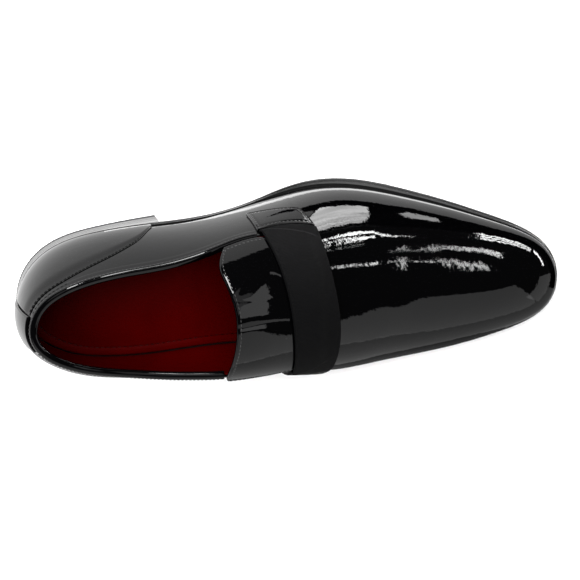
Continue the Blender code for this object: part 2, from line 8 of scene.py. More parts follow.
# %% Load the solids
import bmesh
import bpy
import numpy as np
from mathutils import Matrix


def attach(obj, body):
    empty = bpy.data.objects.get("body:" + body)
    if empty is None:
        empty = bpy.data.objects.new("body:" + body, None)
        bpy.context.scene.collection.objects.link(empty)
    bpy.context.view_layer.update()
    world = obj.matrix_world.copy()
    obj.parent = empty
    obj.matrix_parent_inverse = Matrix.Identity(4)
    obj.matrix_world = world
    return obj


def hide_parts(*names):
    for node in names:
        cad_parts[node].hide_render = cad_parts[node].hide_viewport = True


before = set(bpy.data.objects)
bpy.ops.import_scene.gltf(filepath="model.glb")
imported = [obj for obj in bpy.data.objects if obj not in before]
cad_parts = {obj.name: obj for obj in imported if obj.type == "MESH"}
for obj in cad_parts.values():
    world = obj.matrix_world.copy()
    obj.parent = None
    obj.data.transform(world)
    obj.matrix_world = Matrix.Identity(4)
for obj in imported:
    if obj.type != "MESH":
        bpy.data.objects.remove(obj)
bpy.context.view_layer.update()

# %% [markdown]
# ## The camera
# The shoe is seen from high above, with its toe to the right. The camera leans a little towards
# the outer side of the foot and towards the heel, and is rolled a few degrees. Three angles, a
# distance and a lens say all of it, and a small shift puts the shoe where the picture has it.

# %% Camera
SIDE_LEAN = np.radians(10.5)
HEEL_LEAN = np.radians(9.0)
CAMERA_ROLL = np.radians(4.0)
CAMERA_DISTANCE = 1.3
CAMERA_TARGET = np.array([0.110, 0.0, 0.035])
PICTURE_SIZE = 580
PICTURE_CENTRE = 290
TARGET_PIXEL = 296, 283
FOCAL_PIXELS = 2379
SENSOR_WIDTH = 36.0


def placed(name, data, axes=np.eye(3), origin=(0, 0, 0)):
    """Object in the scene, with its three axes and its origin as the columns of its pose."""
    pose = np.eye(4)
    pose[:3] = np.column_stack([*axes, origin])
    made = bpy.data.objects.new(name, data)
    made.matrix_world = pose.T.tolist()
    bpy.context.scene.collection.objects.link(made)
    return made


towards_heel = -np.sin(HEEL_LEAN)
towards_side = np.sin(SIDE_LEAN)
view_axis = np.array([towards_heel, towards_side, np.sqrt(1 - towards_heel ** 2 - towards_side ** 2)])
view_right = np.cross([np.sin(CAMERA_ROLL), np.cos(CAMERA_ROLL), 0], view_axis)
view_right /= np.linalg.norm(view_right)
camera_place = CAMERA_TARGET + CAMERA_DISTANCE * view_axis
camera_data = bpy.data.cameras.new("camera")
camera_data.sensor_width = SENSOR_WIDTH
camera_data.lens = FOCAL_PIXELS / PICTURE_SIZE * SENSOR_WIDTH
camera_data.shift_x = (PICTURE_CENTRE - TARGET_PIXEL[0]) / PICTURE_SIZE
camera_data.shift_y = (TARGET_PIXEL[1] - PICTURE_CENTRE) / PICTURE_SIZE
camera_axes = view_right, np.cross(view_axis, view_right), view_axis
camera = placed("camera", camera_data, camera_axes, camera_place)
bpy.context.scene.camera = camera
print("camera at", camera_place.round(3), "lens", round(camera_data.lens, 1), "mm")

# %% [markdown]
# ## The last
# A shoe is shaped over a last, so every piece here is a stretch of the last's surface between two
# distances from it. The surface could be sculpted, but a function of two parameters keeps all
# pieces fitting. One parameter, the angle, runs round the foot from the heel by way of the outer
# side. The other, the lift, climbs from the feather line at the sole to the ridge on top.

# %% Sizes of the last and of its pieces
FOOT_LENGTH = 0.301
BALL_WIDTH = 0.095
INSTEP_HEIGHT = 0.075
QUARTER_HEIGHT = 0.060
HEEL_HEIGHT = 0.022
TOE_SPRING = 0.012
HEEL_SETBACK = 0.041
OUTSOLE_THICKNESS = 0.0055
UPPER_WALL = 0.0020
CLEARANCE = 0.0003
LIFT_OFF = 0.0002
SEAT_END = 0.28
FLAT_START = 0.60
FLAT_END = 0.70
SPINE_BACK = 0.11
SPINE_FRONT = 0.90
BULGE_CLIMB = 0.35
OUTLINE = (
    # station, lateral side, medial side
    (0.000, -0.020, 0.020),
    (0.020, 0.178, 0.180),
    (0.050, 0.277, 0.258),
    (0.100, 0.350, 0.326),
    (0.160, 0.382, 0.354),
    (0.230, 0.396, 0.360),
    (0.300, 0.402, 0.350),
    (0.360, 0.417, 0.350),
    (0.430, 0.448, 0.385),
    (0.500, 0.482, 0.462),
    (0.570, 0.498, 0.520),
    (0.640, 0.474, 0.522),
    (0.720, 0.405, 0.508),
    (0.800, 0.319, 0.487),
    (0.870, 0.232, 0.448),
    (0.930, 0.150, 0.397),
    (0.975, 0.055, 0.317),
    (1.000, -0.135, 0.135),
)
SECTIONS = (
    # station, ridge height, lateral squareness, medial squareness, shift, lateral swell, medial swell
    (0.00, 1.300, 3.00, 3.00, -0.020, 0.022, 0.022),
    (0.06, 1.180, 2.10, 2.10, -0.060, 0.024, 0.022),
    (0.14, 1.033, 1.90, 1.90, -0.100, 0.022, 0.026),
    (0.22, 0.993, 2.10, 2.20, -0.125, 0.018, 0.036),
    (0.31, 0.982, 2.70, 3.20, -0.120, 0.014, 0.056),
    (0.40, 0.981, 3.20, 4.30, -0.080, 0.012, 0.066),
    (0.46, 0.967, 3.30, 3.80, -0.060, 0.012, 0.055),
    (0.52, 0.925, 2.90, 3.00, -0.050, 0.016, 0.038),
    (0.60, 0.813, 2.40, 2.40, -0.045, 0.020, 0.026),
    (0.70, 0.667, 2.15, 2.15, -0.035, 0.020, 0.028),
    (0.80, 0.536, 2.00, 2.00, -0.025, 0.020, 0.028),
    (0.90, 0.389, 2.00, 2.00, -0.010, 0.020, 0.026),
    (1.00, 0.213, 2.00, 2.00, 0.000, 0.020, 0.020),
)
COLLAR = (
    # station, lateral height, medial height
    (0.00, 1.000, 1.000),
    (0.05, 0.955, 0.960),
    (0.12, 0.835, 0.865),
    (0.17, 0.790, 0.830),
    (0.25, 0.775, 0.820),
    (0.33, 0.740, 0.830),
    (0.38, 0.735, 0.870),
    (0.42, 0.785, 0.925),
    (0.46, 0.905, 1.000),
    (0.50, 1.120, 1.120),
    (0.56, 1.400, 1.400),
    (1.00, 1.400, 1.400),
)


def spline(knots, values, period=None):
    """Cubic through the knots: each cell is ((m0 a^3 + m1 b^3) / 6g) plus a straight part, and the
    bends m solve the equations that make the slopes meet."""
    knots = np.asarray(knots, float)
    values = np.asarray(values, float)
    if period is not None:
        knots = np.append(knots, knots[0] + period)
        values = np.append(values, values[0])
    gaps = np.diff(knots)
    slopes = np.diff(values) / gaps
    last = len(knots) - 1
    matrix = np.zeros((last + 1, last + 1))
    jumps = np.zeros(last + 1)
    for row in range(1, last):
        matrix[row, row - 1:row + 2] = gaps[row - 1], 2 * (gaps[row - 1] + gaps[row]), gaps[row]
        jumps[row] = 6 * (slopes[row] - slopes[row - 1])
    if period is None:
        matrix[0, 0] = matrix[last, last] = 1
    else:
        matrix[0, [0, last]] = 1, -1
        matrix[last, :2] = 2 * gaps[0], gaps[0]
        matrix[last, -2:] = gaps[-1], 2 * gaps[-1]
        jumps[last] = 6 * (slopes[0] - slopes[-1])
    bends = np.linalg.solve(matrix, jumps)

    def curve(place):
        place = np.asarray(place, float)
        if period is not None:
            place = knots[0] + np.mod(place - knots[0], period)
        cell = np.clip(np.searchsorted(knots, place, side="right") - 1, 0, last - 1)
        before = place - knots[cell]
        after = knots[cell + 1] - place
        gap = gaps[cell]
        return ((bends[cell] * after ** 3 + bends[cell + 1] * before ** 3) / (6 * gap)
                + (values[cell] / gap - bends[cell] * gap / 6) * after
                + (values[cell + 1] / gap - bends[cell + 1] * gap / 6) * before)
    return curve


def column_curve(table, column):
    rows = np.array(table, float)
    return spline(rows[:, 0], rows[:, column])


def angle_at(station):
    """The angle whose station, (1 - cos(angle)) / 2, is given."""
    return np.arccos(1 - 2 * np.clip(station, 0, 1))


def round_curve(table, lateral, medial, medial_sign=1):
    """Closed curve of the angle, from a lateral and a medial column."""
    rows = np.array(table, float)
    angle = angle_at(rows[:, 0])
    knots = np.concatenate([angle, 2 * np.pi - angle[-2:0:-1]])
    values = np.concatenate([rows[:, lateral], medial_sign * rows[-2:0:-1, medial]])
    return spline(knots, values, 2 * np.pi)


def smooth_step(share):
    """6 s^5 - 15 s^4 + 10 s^3: rises from 0 to 1 with level ends."""
    share = np.clip(share, 0, 1)
    return share ** 3 * (10 - 15 * share + 6 * share ** 2)


side_curve = round_curve(OUTLINE, 1, 2, -1)
ridge_curve = column_curve(SECTIONS, 1)
square_curve = round_curve(SECTIONS, 2, 3)
shift_curve = column_curve(SECTIONS, 4)
swell_curve = round_curve(SECTIONS, 5, 6)
collar_curve = round_curve(COLLAR, 1, 2)
print("the last is", FOOT_LENGTH, "m long and", BALL_WIDTH, "m wide at the ball")


# %% The last's surface
SLOPE_STEP = 1e-4
SLOPE_FLOOR = 0.004
SLOPE_TOP = np.pi / 2 - 0.03
SMALLEST_CLIMB = 1e-9
HALVINGS = 36


def station_at(angle):
    return (1 - np.cos(angle)) / 2


def sole_bottom(x):
    """Heel height times a smooth drop over the arch, plus toe spring times the square of the
    distance past the flat spot."""
    station = x / FOOT_LENGTH
    drop = smooth_step((station - SEAT_END) / (FLAT_START - SEAT_END))
    rise = np.clip((station - FLAT_END) / (1 - FLAT_END), 0, None) ** 2
    return HEEL_HEIGHT * (1 - drop) + TOE_SPRING * rise


def sole_top(x):
    return sole_bottom(x) + OUTSOLE_THICKNESS


def foot_point(angle):
    return FOOT_LENGTH * station_at(angle), BALL_WIDTH * side_curve(angle)


def last_point(angle, lift):
    """Foot point drawn in to the spine by cos(lift) plus a swell, and raised towards the ridge by
    climb = sin(lift) ^ (2 / squareness)."""
    angle, lift = np.broadcast_arrays(np.asarray(angle, float), np.asarray(lift, float))
    share = station_at(angle)
    foot_x, foot_y = foot_point(angle)
    spine = SPINE_BACK + (SPINE_FRONT - SPINE_BACK) * share
    spine_x = FOOT_LENGTH * spine
    spine_angle = angle_at(spine)
    spine_y = BALL_WIDTH * (side_curve(spine_angle) + side_curve(2 * np.pi - spine_angle)) / 2
    reach = np.hypot(foot_x - spine_x, foot_y - spine_y)
    climb = np.maximum(np.sin(lift), SMALLEST_CLIMB) ** (2 / square_curve(angle))
    swell = climb / BULGE_CLIMB * np.exp(1 - climb / BULGE_CLIMB) * np.cos(lift) ** 2
    spread = np.cos(lift) + BALL_WIDTH * swell_curve(angle) * swell / reach
    x = spine_x + (foot_x - spine_x) * spread
    y = spine_y + (foot_y - spine_y) * spread + BALL_WIDTH * shift_curve(x / FOOT_LENGTH) * climb
    base = sole_top(foot_x) + CLEARANCE
    ridge = sole_top(x) + INSTEP_HEIGHT * ridge_curve(x / FOOT_LENGTH)
    return np.stack([x, y, base + (ridge - base) * climb], -1)


def shell_point(angle, lift, offset):
    """Last point plus offset times the surface's unit normal, the cross product of its slopes. The
    slopes are taken a little inside the feather line and the ridge, where they would vanish."""
    step = SLOPE_STEP
    angle, lift = np.broadcast_arrays(np.asarray(angle, float), np.asarray(lift, float))
    near = np.clip(lift, SLOPE_FLOOR, SLOPE_TOP)
    along = last_point(angle + step, near) - last_point(angle - step, near)
    upward = last_point(angle, near + step) - last_point(angle, near - step)
    normal = np.cross(upward, along)
    normal = normal / np.linalg.norm(normal, axis=-1, keepdims=True)
    return last_point(angle, lift) + normal * np.asarray(offset, float)[..., None]


def seated(points):
    """First row of the grid set down on the sole."""
    points = points.copy()
    points[:, 0, 2] = sole_top(points[:, 0, 0]) + CLEARANCE
    return points


def bisect(is_below, low, high):
    """Place where is_below turns false, by halving the stretch between low and high."""
    for _ in range(HALVINGS):
        middle = (low + high) / 2
        below = is_below(middle)
        low = np.where(below, middle, low)
        high = np.where(below, high, middle)
    return high


def lift_at_height(angle, height):
    target = sole_top(foot_point(angle)[0]) + height
    return bisect(lambda lift: last_point(angle, lift)[..., 2] < target,
                  np.zeros_like(angle), np.full_like(angle, np.pi / 2))


def section(x, turn):
    """Angle and lift of the point in the plane at x, where turn 0 is lateral and pi is medial."""
    x, turn = np.broadcast_arrays(np.asarray(x, float), np.asarray(turn, float))
    spread = np.abs(np.cos(turn))
    share = x / FOOT_LENGTH - (1 - spread) * SPINE_BACK
    share = share / ((1 - spread) * (SPINE_FRONT - SPINE_BACK) + spread)
    angle = np.where(turn <= np.pi / 2, angle_at(share), 2 * np.pi - angle_at(share))
    return angle, np.minimum(turn, np.pi - turn)


def section_point(x, turn, offset):
    return shell_point(*section(x, turn), offset)


def turn_at_height(x, height, medial=False):
    def is_below(lift):
        turn = np.pi - lift if medial else lift
        return last_point(*section(x, turn))[..., 2] < sole_top(x) + height
    lift = bisect(is_below, np.zeros_like(x), np.full_like(x, np.pi / 2))
    return np.pi - lift if medial else lift


print("ridge over the instep", last_point(angle_at(0.5), np.pi / 2).round(4))

# %% [markdown]
# ## Finishes
# Patent leather is leather under a thick clear coat. Its mirror is not perfect: the coat has a
# fine orange peel and longer, softer waves, and they break a window's reflection into streaks.
# Both are noise in the bump, in metres. Lining leather has pores, and grosgrain has ribs that run
# across the band, so its pattern follows the cloth through the piece's own UV map.

# %% A surface with grain
GRAIN_DETAIL = 2.0
COAT_ROUGHNESS = 0.02
RIB_DISTORTION = 0.6
RIB_DETAIL_SCALE = 0.4
WAVE_RATE = 20
MOTTLE_SCALE = 60


def fill(tree, node, inputs):
    """Each named input of a shader node gets its value, or a link from the output that feeds it."""
    for socket, value in inputs.items():
        if isinstance(value, bpy.types.NodeSocket):
            tree.links.new(value, node.inputs[socket])
        else:
            node.inputs[socket].default_value = value
    return node


def node_of(tree, kind, inputs):
    return fill(tree, tree.nodes.new("ShaderNode" + kind), inputs)


def places(tree, kind):
    """The piece's own coordinates: Object in metres, or its UV map."""
    return tree.nodes.new("ShaderNodeTexCoord").outputs[kind]


def noise_over(tree, scale):
    """Soft noise from 0 to 1 over the piece."""
    inputs = {"Vector": places(tree, "Object"), "Scale": scale, "Detail": GRAIN_DETAIL}
    return node_of(tree, "TexNoise", inputs).outputs["Fac"]


def stretched(tree, value, *limits):
    """The value, its range between the first two limits stretched to the last two."""
    sockets = "Value", "From Min", "From Max", "To Min", "To Max"
    return node_of(tree, "MapRange", dict(zip(sockets, (value, *limits)))).outputs["Result"]


def bump_from(tree, height, depth, below):
    """Normal of a height from 0 to 1 over a depth in metres, on top of the bump below it, if any."""
    inputs = {"Height": height, "Distance": depth}
    if below:
        inputs["Normal"] = below
    return node_of(tree, "Bump", inputs).outputs["Normal"]


def surface(name, colour, roughness, grains=(), coat=0.0, specular=0.5, variation=0.0, ribs=None,
            coat_index=1.5):
    """Principled surface: the bump height is the sum of noise(scale) * depth over the grains, and
    of a rib wave; the base colour is the colour times 1 - variation * noise."""
    made = bpy.data.materials.new(name)
    made.use_nodes = True
    tree = made.node_tree
    shader = tree.nodes["Principled BSDF"]
    fill(tree, shader, {"Base Color": (*colour, 1), "Roughness": roughness, "Specular IOR Level": specular,
                        "Coat Weight": coat, "Coat Roughness": COAT_ROUGHNESS, "Coat IOR": coat_index})
    normal = None
    for scale, depth in grains:
        normal = bump_from(tree, noise_over(tree, scale), depth, normal)
    if ribs:
        pitch, depth = ribs
        inputs = {"Vector": places(tree, "UV"), "Scale": 2 * np.pi / (WAVE_RATE * pitch),
                  "Distortion": RIB_DISTORTION, "Detail Scale": RIB_DETAIL_SCALE}
        wave = node_of(tree, "TexWave", inputs)
        normal = bump_from(tree, wave.outputs["Fac"], depth, normal)
    if normal:
        fill(tree, shader, {"Normal": normal})
    if normal and coat:
        fill(tree, shader, {"Coat Normal": normal})
    if variation:
        shade = stretched(tree, noise_over(tree, MOTTLE_SCALE), 0, 1, 1, 1 - variation)
        scaled = tree.nodes.new("ShaderNodeVectorMath")
        scaled.operation = "SCALE"
        fill(tree, scaled, {"Vector": colour, "Scale": shade})
        fill(tree, shader, {"Base Color": scaled.outputs["Vector"]})
    return made


# %% The shoe's finishes
# Grains are pairs of a scale and a depth, and ribs are a pitch and a depth.
THREAD_GRAINS = ((3000, 0.00003),)
patent = surface("patent leather", (0.0004, 0.0004, 0.0005), roughness=0.3,
                 grains=((120, 0.00006), (420, 0.000024), (900, 0.000012)),
                 coat=1.0, specular=0.0, coat_index=1.42)
lining = surface("red lining leather", (0.034, 0.0001, 0.0001), roughness=0.50,
                 grains=((350, 0.00006), (1500, 0.00003)), specular=0.02, variation=0.35)
grosgrain = surface("grosgrain", (0.0016, 0.0016, 0.0018), roughness=0.75,
                    grains=((2500, 0.00004),), specular=0.10, variation=0.3, ribs=(0.00085, 0.00005))
sole_black = surface("black sole leather", (0.022, 0.022, 0.022), roughness=0.30,
                     grains=((260, 0.00004), (1400, 0.00001)), coat=0.6, variation=0.3)
rubber = surface("rubber top piece", (0.014, 0.014, 0.014), roughness=0.60, grains=((1800, 0.00004),))
# Black thread for the stitches, also the colour of the dark cord that paints shade in the feather groove.
black_thread_and_shade = surface("black thread", (0.004, 0.004, 0.004), roughness=0.70,
                       grains=THREAD_GRAINS, specular=0.2)
waxed_thread = surface("waxed black thread", (0.018, 0.018, 0.018), roughness=0.15,
                       grains=THREAD_GRAINS, specular=0.9)
red_thread = surface("red thread", (0.008, 0.0001, 0.0001), roughness=0.50, grains=THREAD_GRAINS)
print("finishes", [made.name for made in bpy.data.materials])

# %% [markdown]
# ## From grids to pieces
# Each piece is one closed mesh made from whole arrays of points. A leather overlay is two copies
# of one grid: the lower lies on what it is stitched to, and the upper rises above it, rounded
# over along its border, so that its edge catches the light like cut and burnished leather.

# %% Meshes from arrays
SHARP_EDGE = 40


def mesh_of(name, points, faces, finish):
    """Mesh of points and faces in one finish."""
    mesh = bpy.data.meshes.new(name)
    mesh.from_pydata(np.reshape(points, (-1, 3)).tolist(), [], faces)
    mesh.materials.append(finish)
    return mesh


def put(name, node, slot, finish, points, faces, uv=None):
    """One object of a closed mesh, at the shoe's origin, riding on the root body."""
    points = np.reshape(points, (-1, 3)) - np.array([HEEL_SETBACK, 0, 0])
    mesh = mesh_of(name, points, faces, finish)
    form = bmesh.new()
    form.from_mesh(mesh)
    bmesh.ops.recalc_face_normals(form, faces=form.faces)
    form.to_mesh(mesh)
    form.free()
    if uv is not None:
        corner = np.empty(len(mesh.loops), dtype=np.int32)
        mesh.loops.foreach_get("vertex_index", corner)
        layer = mesh.uv_layers.new(name="UVMap")
        layer.uv.foreach_set("vector", np.asarray(uv, float)[corner].ravel())
    mesh.shade_smooth()
    mesh.set_sharp_from_angle(angle=np.radians(SHARP_EDGE))
    piece = placed(name, mesh)
    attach(piece, "root")
    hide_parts(node)
    print(name, len(mesh.polygons), "faces")
    return piece


def quads(grid):
    """Faces between the neighbours of a grid of point numbers."""
    faces = np.stack([grid[:-1, :-1], grid[1:, :-1], grid[1:, 1:], grid[:-1, 1:]], -1)
    return faces.reshape(-1, 4)


def joined(points, faces):
    """Only the points that the faces use, and the faces renumbered to them."""
    used, numbers = np.unique(faces, return_inverse=True)
    return points[used], numbers.reshape(faces.shape).tolist()


def ring_form(name, node, slot, finish, rings, ladder=False):
    """Closed form through rings of points. Each end is one face, or a ladder of faces across it."""
    rings = np.asarray(rings)
    index = np.arange(rings.shape[0] * rings.shape[1]).reshape(rings.shape[:2])
    faces = quads(np.concatenate([index, index[:, :1]], 1)).tolist()
    for ring in index[[0, -1]].tolist():
        half = len(ring) // 2
        if ladder:
            faces += [[ring[0], ring[1], ring[-1]], ring[half - 1:half + 2]]
            faces += [[ring[k], ring[k + 1], ring[-k - 1], ring[-k]] for k in range(1, half - 1)]
        else:
            faces.append(ring)
    return put(name, node, slot, finish, rings, faces)


# %% Raised overlays
EDGE_STEPS = 5


def edge_shares(count, length, roll):
    """Shares of a length: d = roll * (1 - cos(t)) inside each rolled edge and even steps between."""
    near = roll / length * (1 - np.cos(np.linspace(0, np.pi / 2, EDGE_STEPS + 1)))
    middle = np.linspace(near[-1], 1 - near[-1], count)[1:-1]
    return np.concatenate([near, middle, 1 - near[::-1]])


def border_distance(grid):
    """Smallest of the four lengths along the grid's lines from a point to the border."""
    distances = []
    for axis in (0, 1):
        steps = np.linalg.norm(np.diff(grid, axis=axis), axis=-1)
        run = np.insert(np.cumsum(steps, axis=axis), 0, 0, axis=axis)
        distances += [run, np.take(run, [-1], axis=axis) - run]
    return np.minimum.reduce(distances)


def overlay(name, node, slot, finish, place, base, thickness, roll, relief=0, uv=None):
    """place(offset) is a grid of points at distances from the last. The lower side lies at base,
    the upper one at base + thickness * sqrt(1 - (1 - d / roll)^2) + relief, d from the border."""
    lower = place(base)
    share = np.clip(border_distance(lower) / roll, 0, 1)
    rounded = np.sqrt(1 - (1 - share) ** 2)
    rounded[0] = rounded[-1] = rounded[:, 0] = rounded[:, -1] = 0
    upper = place(base + (thickness + relief) * rounded)
    index = np.arange(lower.shape[0] * lower.shape[1]).reshape(lower.shape[:2])
    far = index + index.size
    for edge in (np.s_[0], np.s_[-1], np.s_[:, 0], np.s_[:, -1]):
        far[edge] = index[edge]
    points = np.concatenate([lower.reshape(-1, 3), upper.reshape(-1, 3)])
    faces = np.concatenate([quads(index), quads(far)])
    if uv is not None:
        uv = np.concatenate([uv.reshape(-1, 2)] * 2)[np.unique(faces)]
    return put(name, node, slot, finish, *joined(points, faces), uv)


# %% [markdown]
# ## Stitches
# A seam is a row of short threads that dip into holes at both ends. A single small capsule, copied
# along the seam's path at an even pitch, makes the whole row as one mesh. Each stitch has 30
# faces, because hundreds of them are needed.

# %% A row of stitches
STITCH_SIDES = 6
STITCH_RINGS = 4
SEAM_POINTS = 400


def stitch_row(name, node, slot, finish, stitch, place, offset, margin=0):
    """place(offset) is the seam's path at a distance from the last. The row lies beside it by the
    margin, along the cross product of the surface's normal and the path's run. Stitch k has its
    middle at (k + 1/2) pitches. Its point (t, v) is -length/2 cos(t) along the seam plus
    width/2 sin(t)^(1/2) (cos v, sin v) across it."""
    pitch, length, width = stitch
    path = place(offset)
    outward = place(offset + 1) - path
    side = np.cross(outward, np.gradient(path, axis=0))
    path = path + margin * side / np.linalg.norm(side, axis=-1, keepdims=True)
    steps = np.linalg.norm(np.diff(path, axis=0), axis=-1)
    run = np.insert(np.cumsum(steps), 0, 0)
    count = int(run[-1] / pitch)
    middle = (np.arange(count) + 0.5) * run[-1] / count

    def at(values, distance):
        return np.stack([np.interp(distance, run, values[:, k]) for k in range(3)], -1)

    along = at(path, middle + length / 2) - at(path, middle - length / 2)
    along /= np.linalg.norm(along, axis=-1, keepdims=True)
    out = at(outward, middle)
    out -= (out * along).sum(-1, keepdims=True) * along
    out /= np.linalg.norm(out, axis=-1, keepdims=True)
    frames = np.stack([along, np.cross(out, along), out], 1)
    t = np.linspace(0, np.pi, STITCH_RINGS + 2)[1:-1, None]
    v = np.linspace(0, 2 * np.pi, STITCH_SIDES, endpoint=False)
    radius = width / 2 * np.sqrt(np.sin(t))
    shape = np.stack(np.broadcast_arrays(-length / 2 * np.cos(t), radius * np.cos(v),
                                         radius * np.sin(v)), -1)
    ends = [[-length / 2, 0, 0], [length / 2, 0, 0]]
    shape = np.concatenate([shape.reshape(-1, 3), ends])
    points = at(path, middle)[:, None] + np.einsum("pk,nkj->npj", shape, frames)
    grid = np.arange(STITCH_RINGS * STITCH_SIDES).reshape(STITCH_RINGS, STITCH_SIDES)
    grid = np.concatenate([grid, grid[:, :1]], 1)
    poles = (len(shape) - 2, grid[0]), (len(shape) - 1, grid[-1])
    caps = [[pole, ring[k], ring[k + 1]] for pole, ring in poles for k in range(STITCH_SIDES)]
    shifts = np.arange(count)[:, None, None] * len(shape)
    faces = (quads(grid) + shifts).reshape(-1, 4).tolist() + (np.array(caps) + shifts).reshape(-1, 3).tolist()
    return put(name, node, slot, finish, points, faces)


# %% [markdown]
# ## The upper
# The upper is one sheet of patent leather, closed over the toe and open at the collar. Its
# surface is the last itself, plus a few wide and very shallow folds across the vamp, so that the
# long reflections are never ruler straight. The red lining lies inside it.

# %% Vamp folds
VAMP_FOLDS = (
    # lateral station, ridge station, medial station, depth, half width as a station
    (0.585, 0.610, 0.575, -0.00006, 0.018),
    (0.640, 0.655, 0.620, 0.00008, 0.018),
    (0.690, 0.700, 0.672, -0.00009, 0.020),
    (0.745, 0.760, 0.735, 0.00007, 0.022),
    (0.815, 0.830, 0.800, -0.00008, 0.024),
)


def vamp_relief(angle, lift):
    """Sum of depth * exp(-((station - line) / width)^2) * sin(lift)^2 over the folds, where each
    line goes from its side station to its ridge station with the square of sin(lift)."""
    station = last_point(angle, lift)[..., 0] / FOOT_LENGTH
    lateral = np.mod(angle, 2 * np.pi) <= np.pi
    climb = np.sin(lift) ** 2
    relief = 0 * station
    for side_lateral, ridge, side_medial, depth, width in VAMP_FOLDS:
        side = np.where(lateral, side_lateral, side_medial)
        line = side + (ridge - side) * climb
        relief = relief + depth * np.exp(-((station - line) / width) ** 2) * climb
    return relief


# %% Upper and lining
UPPER_OPEN_COLUMNS = 130
UPPER_CLOSED_COLUMNS = 90
UPPER_ROWS = 76
LINING_STRIDE = 2
PATENT_THICKNESS = 0.0009
LINING_START = 0.0010
THROAT_STATIONS = np.array([0.40, 0.60])


def throat_angle():
    """Angle at which the collar's line meets the ridge, which is the front of the opening."""
    angles = np.linspace(*angle_at(THROAT_STATIONS), SEAM_POINTS)
    ridge_x = FOOT_LENGTH * (SPINE_BACK + (SPINE_FRONT - SPINE_BACK) * station_at(angles))
    ridge = sole_top(ridge_x) + INSTEP_HEIGHT * ridge_curve(ridge_x / FOOT_LENGTH)
    collar = sole_top(foot_point(angles)[0]) + QUARTER_HEIGHT * collar_curve(angles)
    return angles[np.argmax(collar >= ridge)]


def collar_lift(angle):
    return lift_at_height(angle, QUARTER_HEIGHT * collar_curve(angle))


def shell(name, finish, slot, outside, inside, stride=1):
    """Closed wall between two distances from the last. Columns meet in pairs along the ridge, and
    the stride thins out columns and rows."""
    opened, closed, row_count = (count // stride for count in
                                 (UPPER_OPEN_COLUMNS, UPPER_CLOSED_COLUMNS, UPPER_ROWS))
    throat = throat_angle()
    half = np.concatenate([np.linspace(0, throat, opened + 1),
                           np.linspace(throat, np.pi, closed + 1)[1:]])
    angle = np.concatenate([half, 2 * np.pi - half[-2:0:-1]])
    count = len(angle)
    top = collar_lift(angle)
    top[opened:count - opened + 1] = np.pi / 2
    share = np.linspace(0, 1, row_count + 1)
    lift = top[:, None] * share ** (square_curve(angle)[:, None] / 2)
    relief = vamp_relief(angle[:, None], lift)
    walls = [seated(shell_point(angle[:, None], lift, relief + offset)) for offset in (outside, inside)]
    index = np.arange(count * (row_count + 1)).reshape(count, row_count + 1)
    paired = np.arange(opened, count // 2)
    index[count - paired, -1] = index[paired, -1]
    index = np.concatenate([index, index[:1]])
    far = index + count * (row_count + 1)
    rim = np.stack([index[:, -1], far[:, -1]], 1)
    faces = [index, far, np.stack([index[:, 0], far[:, 0]], 1), rim[:opened + 1], rim[count - opened:]]
    points = np.reshape(walls, (-1, 3))
    return put(name, "upper", slot, finish, *joined(points, np.concatenate([quads(grid) for grid in faces])))


shell("upper_patent", patent, "patent", 0, -PATENT_THICKNESS)
shell("upper_lining", lining, "lining", -LINING_START, -UPPER_WALL, LINING_STRIDE)

# %% [markdown]
# ## Counters and back strip
# The heel counter is a second layer of patent leather on each side of the heel. Its upper edge
# falls in a long curve from the back strip to the sole and is held by one row of stitches, with a
# shorter second row near the heel. A narrow strip covers the back seam between the two counters.

# %% Counters
COUNTER_THICKNESS = 0.0009
COUNTER_EDGE = (
    # station, height
    (0.000, 0.900),
    (0.030, 0.885),
    (0.060, 0.835),
    (0.090, 0.755),
    (0.145, 0.605),
    (0.200, 0.440),
    (0.235, 0.235),
    (0.250, 0.060),
)
COUNTER_LENGTH = 0.085
COUNTER_HEIGHT = 0.030
COUNTER_COLUMNS = 150
COUNTER_ROWS = 40
COUNTER_ROLL = 0.0010
COUNTER_STITCH = 0.0025, 0.0018, 0.00085
SKIVED_SHARE = 0.12
SKIVED_ROWS = 0.22
SEAM_BACK = 0.02
SEAM_FRONT = 0.01
SEAM_MARGIN = 0.0007
SECOND_ROW_MARGIN = 0.0034
SECOND_ROW_OFFSET = 0.0001
SECOND_ROW_END = {1: 0.40, -1: 0.55}
STRIP_CENTRE = -0.030
STRIP_HALF_WIDTH = 0.145
STRIP_WIDENING = 0.12
counter_curve = column_curve(COUNTER_EDGE, 1)
heel_step = np.linalg.norm(np.diff(np.array(foot_point(np.array([-SLOPE_STEP, SLOPE_STEP])))))
strip_gap = CLEARANCE * 2 * SLOPE_STEP / heel_step


def counter_lift(angle):
    return lift_at_height(angle, QUARTER_HEIGHT * counter_curve(station_at(angle)))


